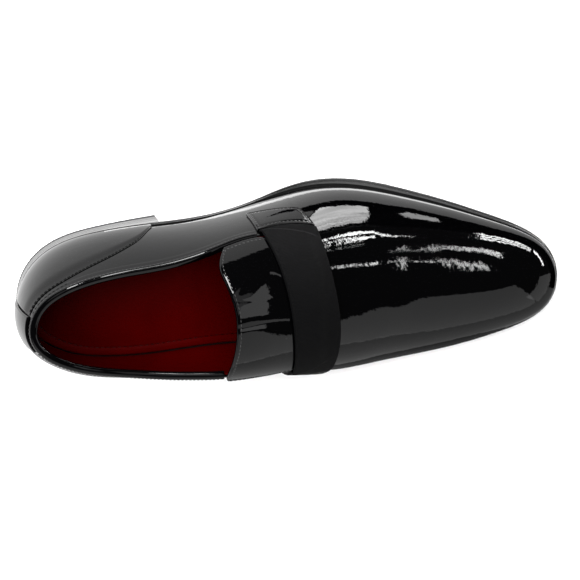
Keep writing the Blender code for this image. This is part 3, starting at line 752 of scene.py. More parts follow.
for side_name, sign in (("lateral", 1), ("medial", -1)):
    node = f"counter_{side_name}"
    start = sign * STRIP_CENTRE + STRIP_HALF_WIDTH * (1 + STRIP_WIDENING) + strip_gap
    end = angle_at(COUNTER_EDGE[-1][0])
    run = start + (end - start) * edge_shares(COUNTER_COLUMNS, COUNTER_LENGTH, COUNTER_ROLL)
    angle = sign * run
    up_shares = edge_shares(COUNTER_ROWS, COUNTER_HEIGHT, COUNTER_ROLL)
    lift = counter_lift(angle)[:, None] * up_shares ** (square_curve(angle)[:, None] / 2)
    skived = SKIVED_SHARE + (1 - SKIVED_SHARE) * smooth_step((1 - up_shares) / SKIVED_ROWS)
    overlay(f"{node}_patent", node, "patent", patent,
            lambda offset: seated(shell_point(angle[:, None], lift, offset)),
            CLEARANCE, COUNTER_THICKNESS * skived, COUNTER_ROLL)
    for row_name, last_angle, margin, offset in (
            ("stitches", end - SEAM_FRONT, SEAM_MARGIN, CLEARANCE + COUNTER_THICKNESS * SKIVED_SHARE),
            ("second_stitches", start + (end - start) * SECOND_ROW_END[sign],
             -SECOND_ROW_MARGIN, SECOND_ROW_OFFSET)):
        edge = sign * np.linspace(start + SEAM_BACK, last_angle, SEAM_POINTS)
        edge_lift = counter_lift(edge)
        stitch_row(f"{node}_{row_name}", node, "patent", black_thread_and_shade, COUNTER_STITCH,
                   lambda away: shell_point(edge, edge_lift, away), offset, sign * margin)

# %% Back strip
EDGE_ROLL = 0.0007
BINDING_DEPTH = 0.0042
BACK_STRIP_THICKNESS = 0.0014
BACK_STRIP_WIDTH = 0.011
BACK_STRIP_HEIGHT = 0.055
BACK_STRIP_COLUMNS = 30
BACK_STRIP_ROWS = 60
across = 2 * edge_shares(BACK_STRIP_COLUMNS, BACK_STRIP_WIDTH, EDGE_ROLL)[:, None] - 1
upward = edge_shares(BACK_STRIP_ROWS, BACK_STRIP_HEIGHT, EDGE_ROLL)[None, :]
strip_angle = STRIP_CENTRE + across * STRIP_HALF_WIDTH * (1 + STRIP_WIDENING * upward)
strip_top = QUARTER_HEIGHT * collar_curve(strip_angle) - BINDING_DEPTH - 2 * CLEARANCE
strip_lift = lift_at_height(strip_angle, strip_top) * upward ** (square_curve(strip_angle) / 2)
overlay("back_strip_patent", "back_strip", "patent", patent,
        lambda offset: seated(shell_point(strip_angle, strip_lift, offset)),
        CLEARANCE, BACK_STRIP_THICKNESS, EDGE_ROLL)

# %% [markdown]
# ## Collar binding
# The collar's edge is wrapped in a narrow folded strip. Its section is two short legs and a round
# crown, and that profile is carried round the opening. A line of fine stitches shows as bright
# beads along its outer side, because each thread catches the light on its own.

# %% Binding
BINDING_THICKNESS = 0.0009
BINDING_CROWN = 0.75
BINDING_COLUMNS = 420
BINDING_LATERAL_END = 0.4185
BINDING_MEDIAL_END = 0.338
CROWN_POINTS = 17
LEG_OFFSET = CLEARANCE + 0.00008
LEG_EDGE_OFFSET = CLEARANCE + 0.00002
LEG_SHARES = 0.06, 0.3, 0.55, 0.74, 0.78, 0.81, 0.84, 0.88, 0.92, 0.97
INNER_LEG_SHARES = 0.6, 0.3, 0.0
FOLD_SHARE = 0.02
LIP_START = 0.74
LIP_SHARE = 0.14
BEAD_SHARE = 0.93
BEAD_SINK = 0.00006
BEAD_STITCH = 0.0021, 0.0013, 0.0006
binding_run = np.linspace(-angle_at(BINDING_MEDIAL_END), angle_at(BINDING_LATERAL_END), BINDING_COLUMNS)
binding_far = CLEARANCE + BINDING_THICKNESS
rim_lift = collar_lift(binding_run)
leg_lift = lift_at_height(binding_run, QUARTER_HEIGHT * collar_curve(binding_run) - BINDING_DEPTH)
rim_point = last_point(binding_run, rim_lift)
rim_out = shell_point(binding_run, rim_lift, 1) - rim_point
rim_up = rim_point - last_point(binding_run, leg_lift)
rim_up = rim_up - (rim_up * rim_out).sum(-1, keepdims=True) * rim_out
rim_up = rim_up / np.linalg.norm(rim_up, axis=-1, keepdims=True)


def leg_point(share, offset):
    """Point of a leg: share 0 at its free edge and 1 at the rim."""
    return shell_point(binding_run, leg_lift + share * (rim_lift - leg_lift), offset)


def lip_offset(share):
    """Low over the leg, then a smooth step up to the full thickness along the rim."""
    return LEG_OFFSET + (binding_far - LEG_OFFSET) * smooth_step((share - LIP_START) / LIP_SHARE)


def rim_over(offset, rise):
    """Point beside the rim: an offset outwards and a rise along the wall."""
    return rim_point + offset * rim_out + rise * rim_up


crown_middle = -UPPER_WALL / 2
crown_radius = binding_far - crown_middle
profile = [leg_point(0, LEG_EDGE_OFFSET)]
profile += [leg_point(share, lip_offset(share)) for share in LEG_SHARES]
profile += [rim_over(crown_middle + crown_radius * np.cos(turn),
                     CLEARANCE + BINDING_CROWN * crown_radius * np.sin(turn))
            for turn in np.linspace(0, np.pi, CROWN_POINTS)]
profile += [leg_point(share, -UPPER_WALL - binding_far) for share in INNER_LEG_SHARES]
profile += [leg_point(0, -UPPER_WALL - CLEARANCE), rim_over(-UPPER_WALL - CLEARANCE, CLEARANCE)]
profile += [rim_over(CLEARANCE, CLEARANCE), leg_point(FOLD_SHARE, CLEARANCE)]
ring_form("collar_binding_patent", "collar_binding", "patent", patent, np.stack(profile, 1))
stitch_row("collar_stitches", "collar_binding", "patent", waxed_thread, BEAD_STITCH,
           lambda offset: leg_point(BEAD_SHARE, offset), binding_far - BEAD_SINK)

# %% [markdown]
# ## Tongue
# The tongue is a stiff plate with a folded and stitched edge. It has been bent over the instep,
# so long creases run from its free edge towards the strap. They are listed as lines over
# the tongue, each with a height and a width, and their sum raises or lowers its face.

# %% Tongue
TONGUE_THICKNESS = 0.0018
TONGUE_PLATE = 0.0016
TONGUE_ROLL = 0.0010
TONGUE_WIDTH = 0.085
TONGUE_RUN = 0.042
TONGUE_COLUMNS = 150
TONGUE_ROWS = 80
TONGUE_REAR = (
    # turn, station
    (20, 0.3390),
    (37, 0.3390),
    (51, 0.3440),
    (77, 0.3570),
    (95, 0.3580),
    (114, 0.3540),
    (137, 0.3470),
    (160, 0.3455),
)
TONGUE_SIDES = (
    # station, lateral turn, medial turn
    (0.335, 33.5, 159.0),
    (0.360, 31.6, 158.6),
    (0.380, 30.9, 158.0),
    (0.400, 31.1, 156.8),
    (0.420, 32.4, 155.0),
    (0.460, 38.0, 148.0),
    (0.500, 46.0, 138.0),
)
TONGUE_FRONT = 0.498
TONGUE_CORNER_START = 0.72
TONGUE_LATERAL_CORNER = 0.26
TONGUE_MEDIAL_CORNER = 0.08
TONGUE_FOLDS = (
    # turn at station 0.36, at 0.41, at 0.46, height, half width in degrees
    (67.0, 58.0, 70.0, 0.00014, 1.3),
    (71.0, 63.0, 75.0, -0.00016, 3.2),
    (73.0, 78.5, 82.5, -0.00018, 1.4),
    (84.0, 88.0, 92.0, 0.00022, 3.0),
    (94.0, 97.0, 100.0, -0.00040, 2.4),
)
FOLD_STATIONS = 0.36, 0.41, 0.46
TONGUE_SEAM = 0.0019
TONGUE_SEAM_END = 0.85
TONGUE_SEAM_POINTS = 240
TONGUE_SIDE_POINTS = 60
TONGUE_STITCH = 0.0023, 0.0016, 0.0005
SETTLING_ROUNDS = 36
tongue_rear_curve = column_curve(TONGUE_REAR, 1)
tongue_lateral_curve = column_curve(TONGUE_SIDES, 1)
tongue_medial_curve = column_curve(TONGUE_SIDES, 2)


def tongue_place(across, along):
    """Station and turn of the tongue's point: across runs from -1 at the lateral edge to 1 at the
    medial one, along from the free rear edge to the front, and each is settled in rounds."""
    size = np.where(across < 0, TONGUE_LATERAL_CORNER, TONGUE_MEDIAL_CORNER)
    corner = size * np.maximum(0, np.abs(across) - TONGUE_CORNER_START) ** 2
    station = TONGUE_FRONT + 0 * (across + along)
    for _ in range(SETTLING_ROUNDS):
        lateral, medial = tongue_lateral_curve(station), tongue_medial_curve(station)
        turn = (lateral + medial) / 2 + across * (medial - lateral) / 2
        rear = tongue_rear_curve(turn) + corner
        station = rear + (TONGUE_FRONT - rear) * along
    return station, turn


def tongue_relief(station, turn):
    """Sum of height * exp(-((turn - line) / width)^2), each line a parabola through its turns."""
    relief = 0 * station
    for rear, middle, front, height, width in TONGUE_FOLDS:
        line = np.polyval(np.polyfit(FOLD_STATIONS, (rear, middle, front), 2), station)
        relief = relief + height * np.exp(-((turn - line) / width) ** 2)
    return relief


def tongue_point(station, turn, offset):
    return section_point(FOOT_LENGTH * station, np.radians(turn), offset)


tongue_across = 2 * edge_shares(TONGUE_COLUMNS, TONGUE_WIDTH, EDGE_ROLL)[:, None] - 1
tongue_along = edge_shares(TONGUE_ROWS, TONGUE_RUN, EDGE_ROLL)[None, :]
tongue_grid = tongue_place(tongue_across, tongue_along)
tongue_base = CLEARANCE + LIFT_OFF
overlay("tongue_patent", "tongue", "patent", patent, lambda offset: tongue_point(*tongue_grid, offset),
        tongue_base, TONGUE_PLATE, TONGUE_ROLL, tongue_relief(*tongue_grid))

# %% Tongue stitches
seam_side, seam_rear = np.ones(TONGUE_SIDE_POINTS), np.zeros(TONGUE_SEAM_POINTS)
seam_climb = np.linspace(0, TONGUE_SEAM_END, TONGUE_SIDE_POINTS)
edge_across = np.concatenate([-seam_side, np.linspace(-1, 1, TONGUE_SEAM_POINTS), seam_side])
edge_along = np.concatenate([seam_climb[::-1], seam_rear, seam_climb])
along_margin = TONGUE_SEAM / TONGUE_RUN
tongue_seam = tongue_place(edge_across * (1 - 2 * TONGUE_SEAM / TONGUE_WIDTH),
                           along_margin + edge_along * (1 - along_margin))
stitch_row("tongue_stitches", "tongue", "patent", waxed_thread, TONGUE_STITCH,
           lambda offset: tongue_point(*tongue_seam, offset),
           tongue_base + TONGUE_PLATE + tongue_relief(*tongue_seam))

# %% [markdown]
# ## Strap and tabs
# A band of matte grosgrain crosses the instep and holds the tongue down. It steps up over the
# tongue and down again beside it. Both its ends lie under patent tabs, each a parallelogram with
# a raised middle and a row of stitches all round.

# %% Strap
STRAP_THICKNESS = 0.0013
STRAP_EDGES = (
    # share of the run, rear station, front station
    (0.00, 0.427, 0.532),
    (0.33, 0.450, 0.547),
    (0.62, 0.461, 0.556),
    (1.00, 0.469, 0.548),
)
TAB_CORNERS = (
    # lateral station, medial station, lateral height, medial height
    (0.417, 0.459, 0.300, 0.220),
    (0.511, 0.531, 0.487, 0.400),
    (0.530, 0.547, 0.665, 0.560),
    (0.424, 0.468, 0.600, 0.500),
)
STRAP_RAMP_TURN = 4.0
STRAP_LEAD_TURN = 2.5
STRAP_RAMP_STATION = 0.045
STRAP_LENGTH = 0.110
STRAP_WIDTH = 0.028
STRAP_COLUMNS = 200
STRAP_ROWS = 50
STRAP_ROLL = 0.0005
strap_rear_curve = column_curve(STRAP_EDGES, 1)
strap_front_curve = column_curve(STRAP_EDGES, 2)


def strap_ends(across):
    """Turns of the strap's two ends, which lie along the tabs' upper edges."""
    front, rear = TAB_CORNERS[2], TAB_CORNERS[3]
    ends = []
    for column, medial in ((0, False), (1, True)):
        x = FOOT_LENGTH * (rear[column] + across * (front[column] - rear[column]))
        low, high = rear[column + 2], front[column + 2]
        height = INSTEP_HEIGHT * (low + across * (high - low)) + 2 * CLEARANCE
        ends.append(turn_at_height(x, height, medial))
    return ends


strap_across = edge_shares(STRAP_ROWS, STRAP_WIDTH, STRAP_ROLL)
strap_run = edge_shares(STRAP_COLUMNS, STRAP_LENGTH, STRAP_ROLL)
strap_lateral, strap_medial = strap_ends(strap_across)
strap_turn = strap_lateral + strap_run[:, None] * (strap_medial - strap_lateral)
strap_rear, strap_front = strap_rear_curve(strap_run), strap_front_curve(strap_run)
strap_station = strap_rear[:, None] + strap_across * (strap_front - strap_rear)[:, None]
past_lateral = np.degrees(strap_turn) - tongue_lateral_curve(strap_station) + STRAP_LEAD_TURN
past_medial = tongue_medial_curve(strap_station) - np.degrees(strap_turn) + STRAP_LEAD_TURN
over_tongue = smooth_step(1 - (strap_station - TONGUE_FRONT) / STRAP_RAMP_STATION)
for past in (past_lateral, past_medial):
    over_tongue = over_tongue * smooth_step(1 + past / STRAP_RAMP_TURN)
strap_low = CLEARANCE + LIFT_OFF + (TONGUE_THICKNESS + CLEARANCE + LIFT_OFF) * over_tongue
strap_uv = np.stack(np.broadcast_arrays(strap_run[:, None] * STRAP_LENGTH, strap_across * STRAP_WIDTH), -1)
overlay("strap_grosgrain", "strap", "grosgrain", grosgrain,
        lambda offset: section_point(FOOT_LENGTH * strap_station, strap_turn, strap_low + offset),
        0, STRAP_THICKNESS, STRAP_ROLL, 0, strap_uv)

# %% Tabs
TAB_THICKNESS = 0.0017
TAB_SEAM = 0.0016
TAB_GROOVE = 0.00045
TAB_GROOVE_WIDTH = 0.0008
TAB_LENGTH = 0.029
TAB_HEIGHT = 0.016
TAB_COLUMNS = 56
TAB_ROWS = 32
TAB_STITCH = 0.0022, 0.0015, 0.0006


def tab_point(column, medial, along, up, offset):
    """Place between the tab's four corners, linear along and up, at that height over the last."""
    corners = np.array([(corner[column], corner[column + 2]) for corner in TAB_CORNERS])
    low = corners[0] + along[..., None] * (corners[1] - corners[0])
    high = corners[3] + along[..., None] * (corners[2] - corners[3])
    station, height = np.moveaxis(low + up[..., None] * (high - low), -1, 0)
    x = FOOT_LENGTH * station
    return section_point(x, turn_at_height(x, INSTEP_HEIGHT * height, medial), offset)


along_margin, up_margin = TAB_SEAM / TAB_LENGTH, TAB_SEAM / TAB_HEIGHT
seam_corners = np.array([(along_margin, up_margin), (1 - along_margin, up_margin),
                         (1 - along_margin, 1 - up_margin), (along_margin, 1 - up_margin),
                         (along_margin, up_margin)])
corner_numbers = np.arange(len(seam_corners))
seam_place = np.linspace(0, corner_numbers[-1], SEAM_POINTS)
seam_along, seam_up = (np.interp(seam_place, corner_numbers, shares) for shares in seam_corners.T)
along, up = np.meshgrid(edge_shares(TAB_COLUMNS, TAB_LENGTH, EDGE_ROLL),
                        edge_shares(TAB_ROWS, TAB_HEIGHT, EDGE_ROLL), indexing="ij")
for side_name, column, medial in (("lateral", 0, False), ("medial", 1, True)):
    node = f"strap_tab_{side_name}"
    flat = tab_point(column, medial, along, up, CLEARANCE)
    groove = np.exp(-((border_distance(flat) - TAB_SEAM) / TAB_GROOVE_WIDTH) ** 2)
    overlay(f"{node}_patent", node, "patent", patent,
            lambda offset: tab_point(column, medial, along, up, offset),
            CLEARANCE, TAB_THICKNESS, EDGE_ROLL, -TAB_GROOVE * groove)
    stitch_row(f"{node}_stitches", node, "patent", waxed_thread, TAB_STITCH,
               lambda offset: tab_point(column, medial, seam_along, seam_up, offset),
               CLEARANCE + TAB_THICKNESS - TAB_GROOVE)

# %% [markdown]
# ## Sole, heel and insole
# The sole's edge shows from above as a narrow ledge round the forepart, with a step where its
# upper layer ends, and a groove parts it from the upper. A dark cord laid in that groove is
# painted shade, the dark line where the upper meets the sole. The heel is a stack of leather
# lifts on a rubber top piece, so fine lines run round it. The insole is a red leather sock
# with a stitched outline.

# %% Rings round the sole
EDGE_LEDGE = 0.0040
EDGE_STEP_HEIGHT = 0.0022
EDGE_STEP_SHARE = 0.30
EDGE_BEVEL = 0.0007
LEDGE = (
    # station, lateral ledge, medial ledge
    (0.00, 0.28, 0.28),
    (0.15, 0.28, 0.28),
    (0.34, 0.25, 0.25),
    (0.45, 0.27, 0.25),
    (0.50, 0.60, 0.45),
    (0.58, 1.00, 0.65),
    (0.75, 1.00, 0.75),
    (0.90, 0.82, 0.72),
    (1.00, 0.65, 0.65),
)
SOLE_COLUMNS = 240
SMALL_BEVEL = 0.00025
BEVEL_ROUND = 0.3
FEATHER_GROOVE = 0.0022
GROOVE_START = 0.05
GROOVE_NARROWING = 0.35
STEP_GROOVE = 0.0010
STEP_GROOVE_FLOOR = 0.4
STEP_GROOVE_RIM = 0.5
# Section of the dark cord in the feather groove: painted shade where the upper meets the sole, not a real
# seam.
FEATHER_SHADE_CORD = (
    # share of the groove's width, height from the sole's top
    (0.08, -0.0019),
    (0.78, -0.0019),
    (0.84, -0.0005),
    (0.10, -0.0005),
)
ledge_curve = round_curve(LEDGE, 1, 2)


def edge_ring(angle, outset, height):
    """Ring at a distance outside the foot outline, along the outline's own normal."""
    x, y = foot_point(angle)
    next_x, next_y = foot_point(angle + SLOPE_STEP)
    last_x, last_y = foot_point(angle - SLOPE_STEP)
    length = np.hypot(next_x - last_x, next_y - last_y)
    x = x - (next_y - last_y) / length * outset
    y = y + (next_x - last_x) / length * outset
    return np.stack([x, y, height(x)], -1)


def upright(level, rise):
    """Height of a ring that lies at a rise above a level of the sole."""
    return lambda x: level(x) + rise


def past_step(share):
    """Outset between the step and the ledge's outer edge."""
    return step_in + share * (ledge - step_in)


sole_angle = np.linspace(0, 2 * np.pi, 2 * SOLE_COLUMNS, endpoint=False)
ledge = EDGE_LEDGE * ledge_curve(sole_angle)
step_in = ledge * (1 - EDGE_STEP_SHARE)
groove_out = (step_in - SMALL_BEVEL) * (1 - GROOVE_NARROWING * ledge_curve(sole_angle))
edge_profile = (
    # outset, height above the sole's top or bottom, which of the two
    (GROOVE_START * groove_out, -FEATHER_GROOVE, sole_top),
    (groove_out - SMALL_BEVEL / 2, -FEATHER_GROOVE, sole_top),
    (groove_out, 0, sole_top),
    (step_in - SMALL_BEVEL, 0, sole_top),
    (step_in, -SMALL_BEVEL, sole_top),
    (step_in, -EDGE_STEP_HEIGHT - STEP_GROOVE, sole_top),
    (past_step(STEP_GROOVE_FLOOR), -EDGE_STEP_HEIGHT - STEP_GROOVE, sole_top),
    (past_step(STEP_GROOVE_RIM), -EDGE_STEP_HEIGHT, sole_top),
    (ledge - SMALL_BEVEL, -EDGE_STEP_HEIGHT, sole_top),
    (ledge, -EDGE_STEP_HEIGHT - SMALL_BEVEL, sole_top),
    (ledge, EDGE_BEVEL, sole_bottom),
    (ledge - BEVEL_ROUND * EDGE_BEVEL, BEVEL_ROUND * EDGE_BEVEL, sole_bottom),
    (ledge - EDGE_BEVEL, 0, sole_bottom),
)
ring_form("outsole_leather", "outsole", "sole", sole_black,
          [edge_ring(sole_angle, outset, upright(level, rise)) for outset, rise, level in edge_profile],
          ladder=True)
# The dark cord in the feather groove is painted shade for the dark line between the upper and the sole.
ring_form("feather_painted_shade", "outsole", "sole", black_thread_and_shade,
          [edge_ring(sole_angle, share * groove_out, upright(sole_top, rise))
           for share, rise in FEATHER_SHADE_CORD], ladder=True)

# %% Heel
HEEL_BREAST = 0.266
HEEL_TAPER = 0.0012
HEEL_FLARE = 0.0005
HEEL_FLARE_SHARPNESS = 6
HEEL_BREAST_HOLLOW = 0.0022
TOP_PIECE_HEIGHT = 0.0060
LIFT_HEIGHT = 0.0052
LINE_DEPTH = 0.00022
LINE_HALF_HEIGHT = 0.00025
HEEL_POINTS = 161
BREAST_POINTS = 41
heel_end = angle_at(HEEL_BREAST)
heel_angle = np.linspace(-heel_end, heel_end, HEEL_POINTS)
heel_top = HEEL_HEIGHT - CLEARANCE


def heel_ring(height, inset):
    """Outline of the heel at a height: the seat's outline tapers at the back, flares at the
    breast, and the breast is hollowed by a parabola."""
    near_breast = (np.abs(heel_angle) / heel_end) ** HEEL_FLARE_SHARPNESS
    taper = HEEL_TAPER - (HEEL_TAPER + HEEL_FLARE) * near_breast
    ledge = EDGE_LEDGE * ledge_curve(heel_angle)
    seat = ledge - EDGE_BEVEL * (1 - near_breast)
    foot = ledge - taper
    outset = foot + (seat - foot) * height / heel_top - inset
    ring = edge_ring(heel_angle, outset, lambda x: 0 * x + height)
    across = np.linspace(1, -1, BREAST_POINTS)[1:-1, None]
    middle = (ring[-1] + ring[0]) / 2
    breast = middle + across * (ring[-1] - middle)
    breast[:, 0] -= HEEL_BREAST_HOLLOW * (1 - across[:, 0] ** 2)
    return np.concatenate([ring, breast])


line_heights = np.arange(TOP_PIECE_HEIGHT + LIFT_HEIGHT, heel_top - LINE_HALF_HEIGHT, LIFT_HEIGHT)
lift_levels = [(TOP_PIECE_HEIGHT, LINE_DEPTH), (TOP_PIECE_HEIGHT + LINE_HALF_HEIGHT, 0)]
for line in line_heights:
    lift_levels += [(line - LINE_HALF_HEIGHT, 0), (line, LINE_DEPTH), (line + LINE_HALF_HEIGHT, 0)]
lift_levels += [(heel_top - LINE_HALF_HEIGHT, 0), (heel_top, LINE_DEPTH)]
top_piece_levels = [(0, LINE_DEPTH), (LINE_HALF_HEIGHT, 0),
                    (TOP_PIECE_HEIGHT - LINE_HALF_HEIGHT, 0), (TOP_PIECE_HEIGHT, LINE_DEPTH)]
for name, finish, levels in (("heel_lifts", sole_black, lift_levels),
                             ("heel_top_piece", rubber, top_piece_levels)):
    ring_form(name, "heel", "heel", finish, [heel_ring(height, inset) for height, inset in levels])

# %% Insole
INSOLE_THICKNESS = 0.0028
INSOLE_INSET = UPPER_WALL + 0.0009
INSOLE_SEAM = 0.0045
INSOLE_SEAM_RISE = INSOLE_THICKNESS - 0.0003
INSOLE_COLUMNS = 360
INSOLE_STITCH = 0.0030, 0.0021, 0.0006
INSOLE_PROFILE = (
    # inset, depth below the top
    (0.0, INSOLE_THICKNESS),
    (0.0, 0.0008),
    (0.0003, 0.0003),
    (0.0009, 0.0),
    (INSOLE_SEAM - 0.0008, 0.0),
    (INSOLE_SEAM, 0.0004),
    (INSOLE_SEAM + 0.0008, 0.0),
)
insole_angle = np.linspace(0, 2 * np.pi, INSOLE_COLUMNS, endpoint=False)


def insole_ring(inset, rise):
    return edge_ring(insole_angle, -INSOLE_INSET - inset, upright(sole_top, CLEARANCE + rise))


ring_form("insole_sock", "insole", "lining", lining,
          [insole_ring(inset, INSOLE_THICKNESS - depth) for inset, depth in INSOLE_PROFILE], ladder=True)
stitch_row("insole_stitches", "insole", "lining", red_thread, INSOLE_STITCH,
           lambda rise: insole_ring(INSOLE_SEAM, rise)[np.arange(-INSOLE_COLUMNS, 1)], INSOLE_SEAM_RISE)

# %% [markdown]
# ## Floor
# The floor is plain and pale, and lit so brightly that it turns white in the picture.

# %% Floor
FLOOR_HALF = 2.0
pale = surface("pale floor", (0.97, 0.97, 0.97), roughness=0.9, specular=0.0)
floor_corners = FLOOR_HALF * np.array([(-1, -1, 0), (1, -1, 0), (1, 1, 0), (-1, 1, 0)])
floor = placed("floor", mesh_of("floor", floor_corners, [(0, 1, 2, 3)], pale))

# %% [markdown]
# ## What the gloss sees
# Black patent leather shows little but reflections, and a white floor would turn its walls far too
# pale. So the gloss sees cards instead. A wide card stands for the floor, and darker and brighter
# ones lie on it: a black one beyond the outer side and the toe, two dim ones at the inner side,
# two bright patches for the vamp, and a narrow halo that draws the line of light above the sole.

# %% Cards that only the gloss sees
CARD_LIFT = 0.0010
CARD_MOTTLE = 16
MOTTLE_SHARE = 0.6
MOTTLED_CARDS = "pale_card", "small_card"
MOTTLE_START = 0.3
MOTTLE_END = 0.7
HALO_NEAR = 0.0045
HALO_FAR = 0.0080
HALO_RADIANCE = 2.8
HALO_LEVEL = 4
HALO_ANGLES = 0.85, 3.6
HALO_POINTS = 120
CARDS = (
    # name, radiance, level, corners
    ("floor_card", 1.05, 1, ((-3.0, -3.0), (3.0, -3.0), (3.0, 3.0), (-3.0, 3.0))),
    ("inner_card", 0.45, 2, ((-0.3, -0.075), (-0.3, -3.0), (3.0, -3.0), (3.0, -1.2), (0.300, -0.040),
                             (0.22, -0.085), (0.12, -0.090))),
    ("inner_strip", 0.12, 3, ((0.03, -0.01), (0.03, -0.09), (0.12, -0.092), (0.22, -0.087), (0.27, -0.040),
                              (0.285, -0.010), (0.20, -0.01))),
    ("dark_card", 0.0, 2, ((0.10, 0.092), (0.192, 0.078), (0.205, 0.068), (0.234, 0.068), (0.272, 0.058),
                           (0.300, 0.030), (0.308, 0.0), (0.300, -0.040), (3.0, -1.2), (3.0, 3.0),
                           (1.9, 2.4), (0.36, 0.62), (0.15, 0.11))),
    ("pale_card", 13.0, 3, ((0.150, 0.105), (0.192, 0.100), (0.30, 0.24), (0.56, 0.60), (0.46, 0.72),
                            (0.210, 0.246))),
    ("small_card", 7.0, 3, ((0.220, 0.090), (0.243, 0.093), (0.275, 0.130), (0.262, 0.138),
                            (0.226, 0.105))),
)


def glossy_card(name, radiance, corners, faces=((0, 1, 2, 3),), mottled=False):
    """A bright or dark card that only reflections show: the camera and the floor don't see it. The
    radiance of a mottled card falls by up to a share of it, after a soft noise."""
    glow = surface(name, (0.0, 0.0, 0.0), roughness=1.0, specular=0.0)
    tree = glow.node_tree
    strength = radiance
    if mottled:
        strength = stretched(tree, noise_over(tree, CARD_MOTTLE), MOTTLE_START, MOTTLE_END,
                             radiance * (1 - MOTTLE_SHARE), radiance)
    fill(tree, tree.nodes["Principled BSDF"], {"Emission Color": (1, 1, 1, 1), "Emission Strength": strength})
    card = placed(name, mesh_of(name, corners, faces, glow))
    card.visible_camera = card.visible_diffuse = card.visible_shadow = False


for name, radiance, level, corners in CARDS:
    glossy_card(name, radiance, [(x, y, level * CARD_LIFT) for x, y in corners],
                [tuple(range(len(corners)))], name in MOTTLED_CARDS)
halo_angle = np.linspace(*HALO_ANGLES, HALO_POINTS)
halo = np.stack([edge_ring(halo_angle, outset, lambda x: 0 * x) for outset in (HALO_NEAR, HALO_FAR)])
halo += np.array([-HEEL_SETBACK, 0, HALO_LEVEL * CARD_LIFT])
glossy_card("halo_card", HALO_RADIANCE, halo.reshape(-1, 3),
            quads(np.arange(2 * HALO_POINTS).reshape(2, -1)).tolist())

# %% [markdown]
# ## A window with slats
# The broken streaks on the vamp are a window seen through slats. Each pane stands near the shoe,
# its corners where the vamp mirrors the ends of one streak, and leaves out every other stretch.
# Two more screens light the tongue and the collar's rim.

# %% A window with slats
WINDOW_RADIANCE = 30.0
SLAT_SHARE = 0.5
WINDOW_PANES = (
    # number of slats, then the corners: two of the top, two of the foot
    (4, (0.257, 0.173, 0.078), (0.264, 0.180, 0.071), (0.282, 0.140, 0.121), (0.278, 0.134, 0.119)),
    (2, (0.264, 0.180, 0.071), (0.285, 0.176, 0.064), (0.291, 0.159, 0.097), (0.278, 0.152, 0.109)),
    (1, (0.286, 0.174, 0.068), (0.311, 0.162, 0.072), (0.311, 0.160, 0.076), (0.288, 0.171, 0.075)),
    (2, (0.315, 0.121, 0.123), (0.328, 0.150, 0.091), (0.329, 0.135, 0.114), (0.319, 0.124, 0.128)),
    (1, (0.295, 0.095, 0.155), (0.303, 0.096, 0.158), (0.304, 0.089, 0.163), (0.296, 0.082, 0.163)),
    (1, (0.323, 0.098, 0.153), (0.326, 0.098, 0.153), (0.326, 0.093, 0.158), (0.323, 0.093, 0.158)),
    (3, (0.338, 0.174, 0.019), (0.403, 0.127, 0.038), (0.406, 0.115, 0.062), (0.340, 0.167, 0.056)),
    (3, (0.335, 0.149, 0.095), (0.359, 0.136, 0.107), (0.360, 0.113, 0.134), (0.336, 0.139, 0.109)),
    (2, (0.331, 0.111, 0.140), (0.348, 0.079, 0.168), (0.347, 0.057, 0.181), (0.331, 0.098, 0.151)),
    (1, (0.411, 0.116, 0.040), (0.448, 0.024, 0.056), (0.445, 0.030, 0.062), (0.415, 0.110, 0.052)),
)
SCREENS = (
    # name, radiance, corners
    ("tongue_screen", 1.4,
     ((0.213, 0.116, 0.185), (0.168, 0.063, 0.263), (0.179, -0.042, 0.263), (0.236, -0.065, 0.197))),
    ("rim_window", 22.0,
     ((0.019, 0.254, 0.141), (0.084, 0.243, 0.160), (0.111, 0.176, 0.243), (0.060, 0.199, 0.232))),
)
slat_corners = []
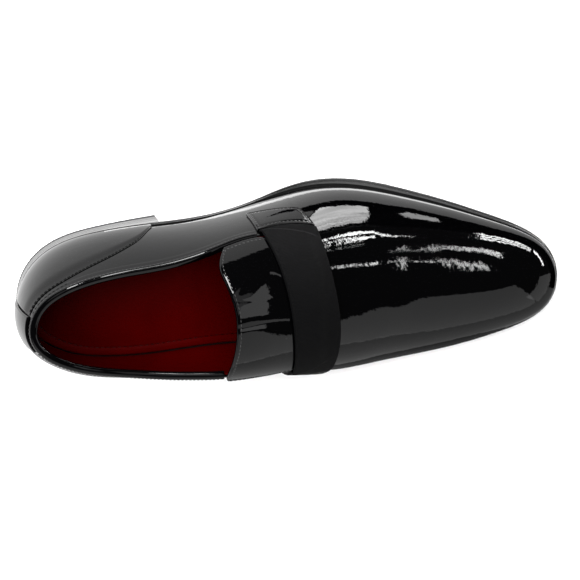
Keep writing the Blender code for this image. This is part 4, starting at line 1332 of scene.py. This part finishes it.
for count, *corners in WINDOW_PANES:
    top_from, top_to, foot_to, foot_from = np.array(corners)
    for slat in range(count):
        low, high = slat / count, (slat + SLAT_SHARE) / count if count > 1 else 1
        slat_corners += [top_from + low * (foot_from - top_from), top_to + low * (foot_to - top_to),
                         top_to + high * (foot_to - top_to), top_from + high * (foot_from - top_from)]
glossy_card("window_slats", WINDOW_RADIANCE, slat_corners,
            np.arange(len(slat_corners)).reshape(-1, 4).tolist())
for name, radiance, corners in SCREENS:
    glossy_card(name, radiance, corners)

# %% [markdown]
# ## Lights
# One large overhead light whitens the floor without showing in the gloss. Three dim screens do
# show in it, and the two beyond the inner side and the toe turn that flank dark grey.

# %% Lights
LIGHT_CENTRE = np.array([0.12, 0.0, 0.03])
WORLD_GREY = 0.03
LIGHTS = (
    # name, azimuth, elevation, distance, width, height, radiance, seen in the gloss
    ("overhead", 132, 54, 1.7, 2.0, 2.0, 11.0, False),
    ("upper_screen", 62, 60, 1.6, 0.9, 0.9, 0.6, True),
    ("inner_screen", -93, 22, 1.6, 4.1, 3.0, 0.8, True),
    ("front_screen", -22.8, 4, 1.6, 1.05, 0.60, 0.8, True),
)


def towards(azimuth, elevation):
    """Unit vector (cos(e) cos(a), cos(e) sin(a), sin(e)) of two angles in degrees."""
    around, above = np.radians(azimuth), np.radians(elevation)
    return np.array([np.cos(above) * np.cos(around), np.cos(above) * np.sin(around), np.sin(above)])


for name, azimuth, elevation, distance, width, height, radiance, in_gloss in LIGHTS:
    direction = towards(azimuth, elevation)
    level = towards(azimuth + 90, 0)
    light_data = bpy.data.lights.new(name, "AREA")
    light_data.shape = "RECTANGLE"
    light_data.size = width
    light_data.size_y = height
    light_data.energy = radiance * np.pi * width * height
    axes = level, np.cross(direction, level), direction
    light = placed(name, light_data, axes, LIGHT_CENTRE + distance * direction)
    light.visible_glossy = in_gloss
    print(name, "power", round(light_data.energy, 2))
world = bpy.data.worlds.new("studio")
world.use_nodes = True
world.node_tree.nodes["Background"].inputs["Color"].default_value = (WORLD_GREY, WORLD_GREY, WORLD_GREY, 1)
bpy.context.scene.world = world
bpy.context.scene.view_settings.view_transform = "Standard"
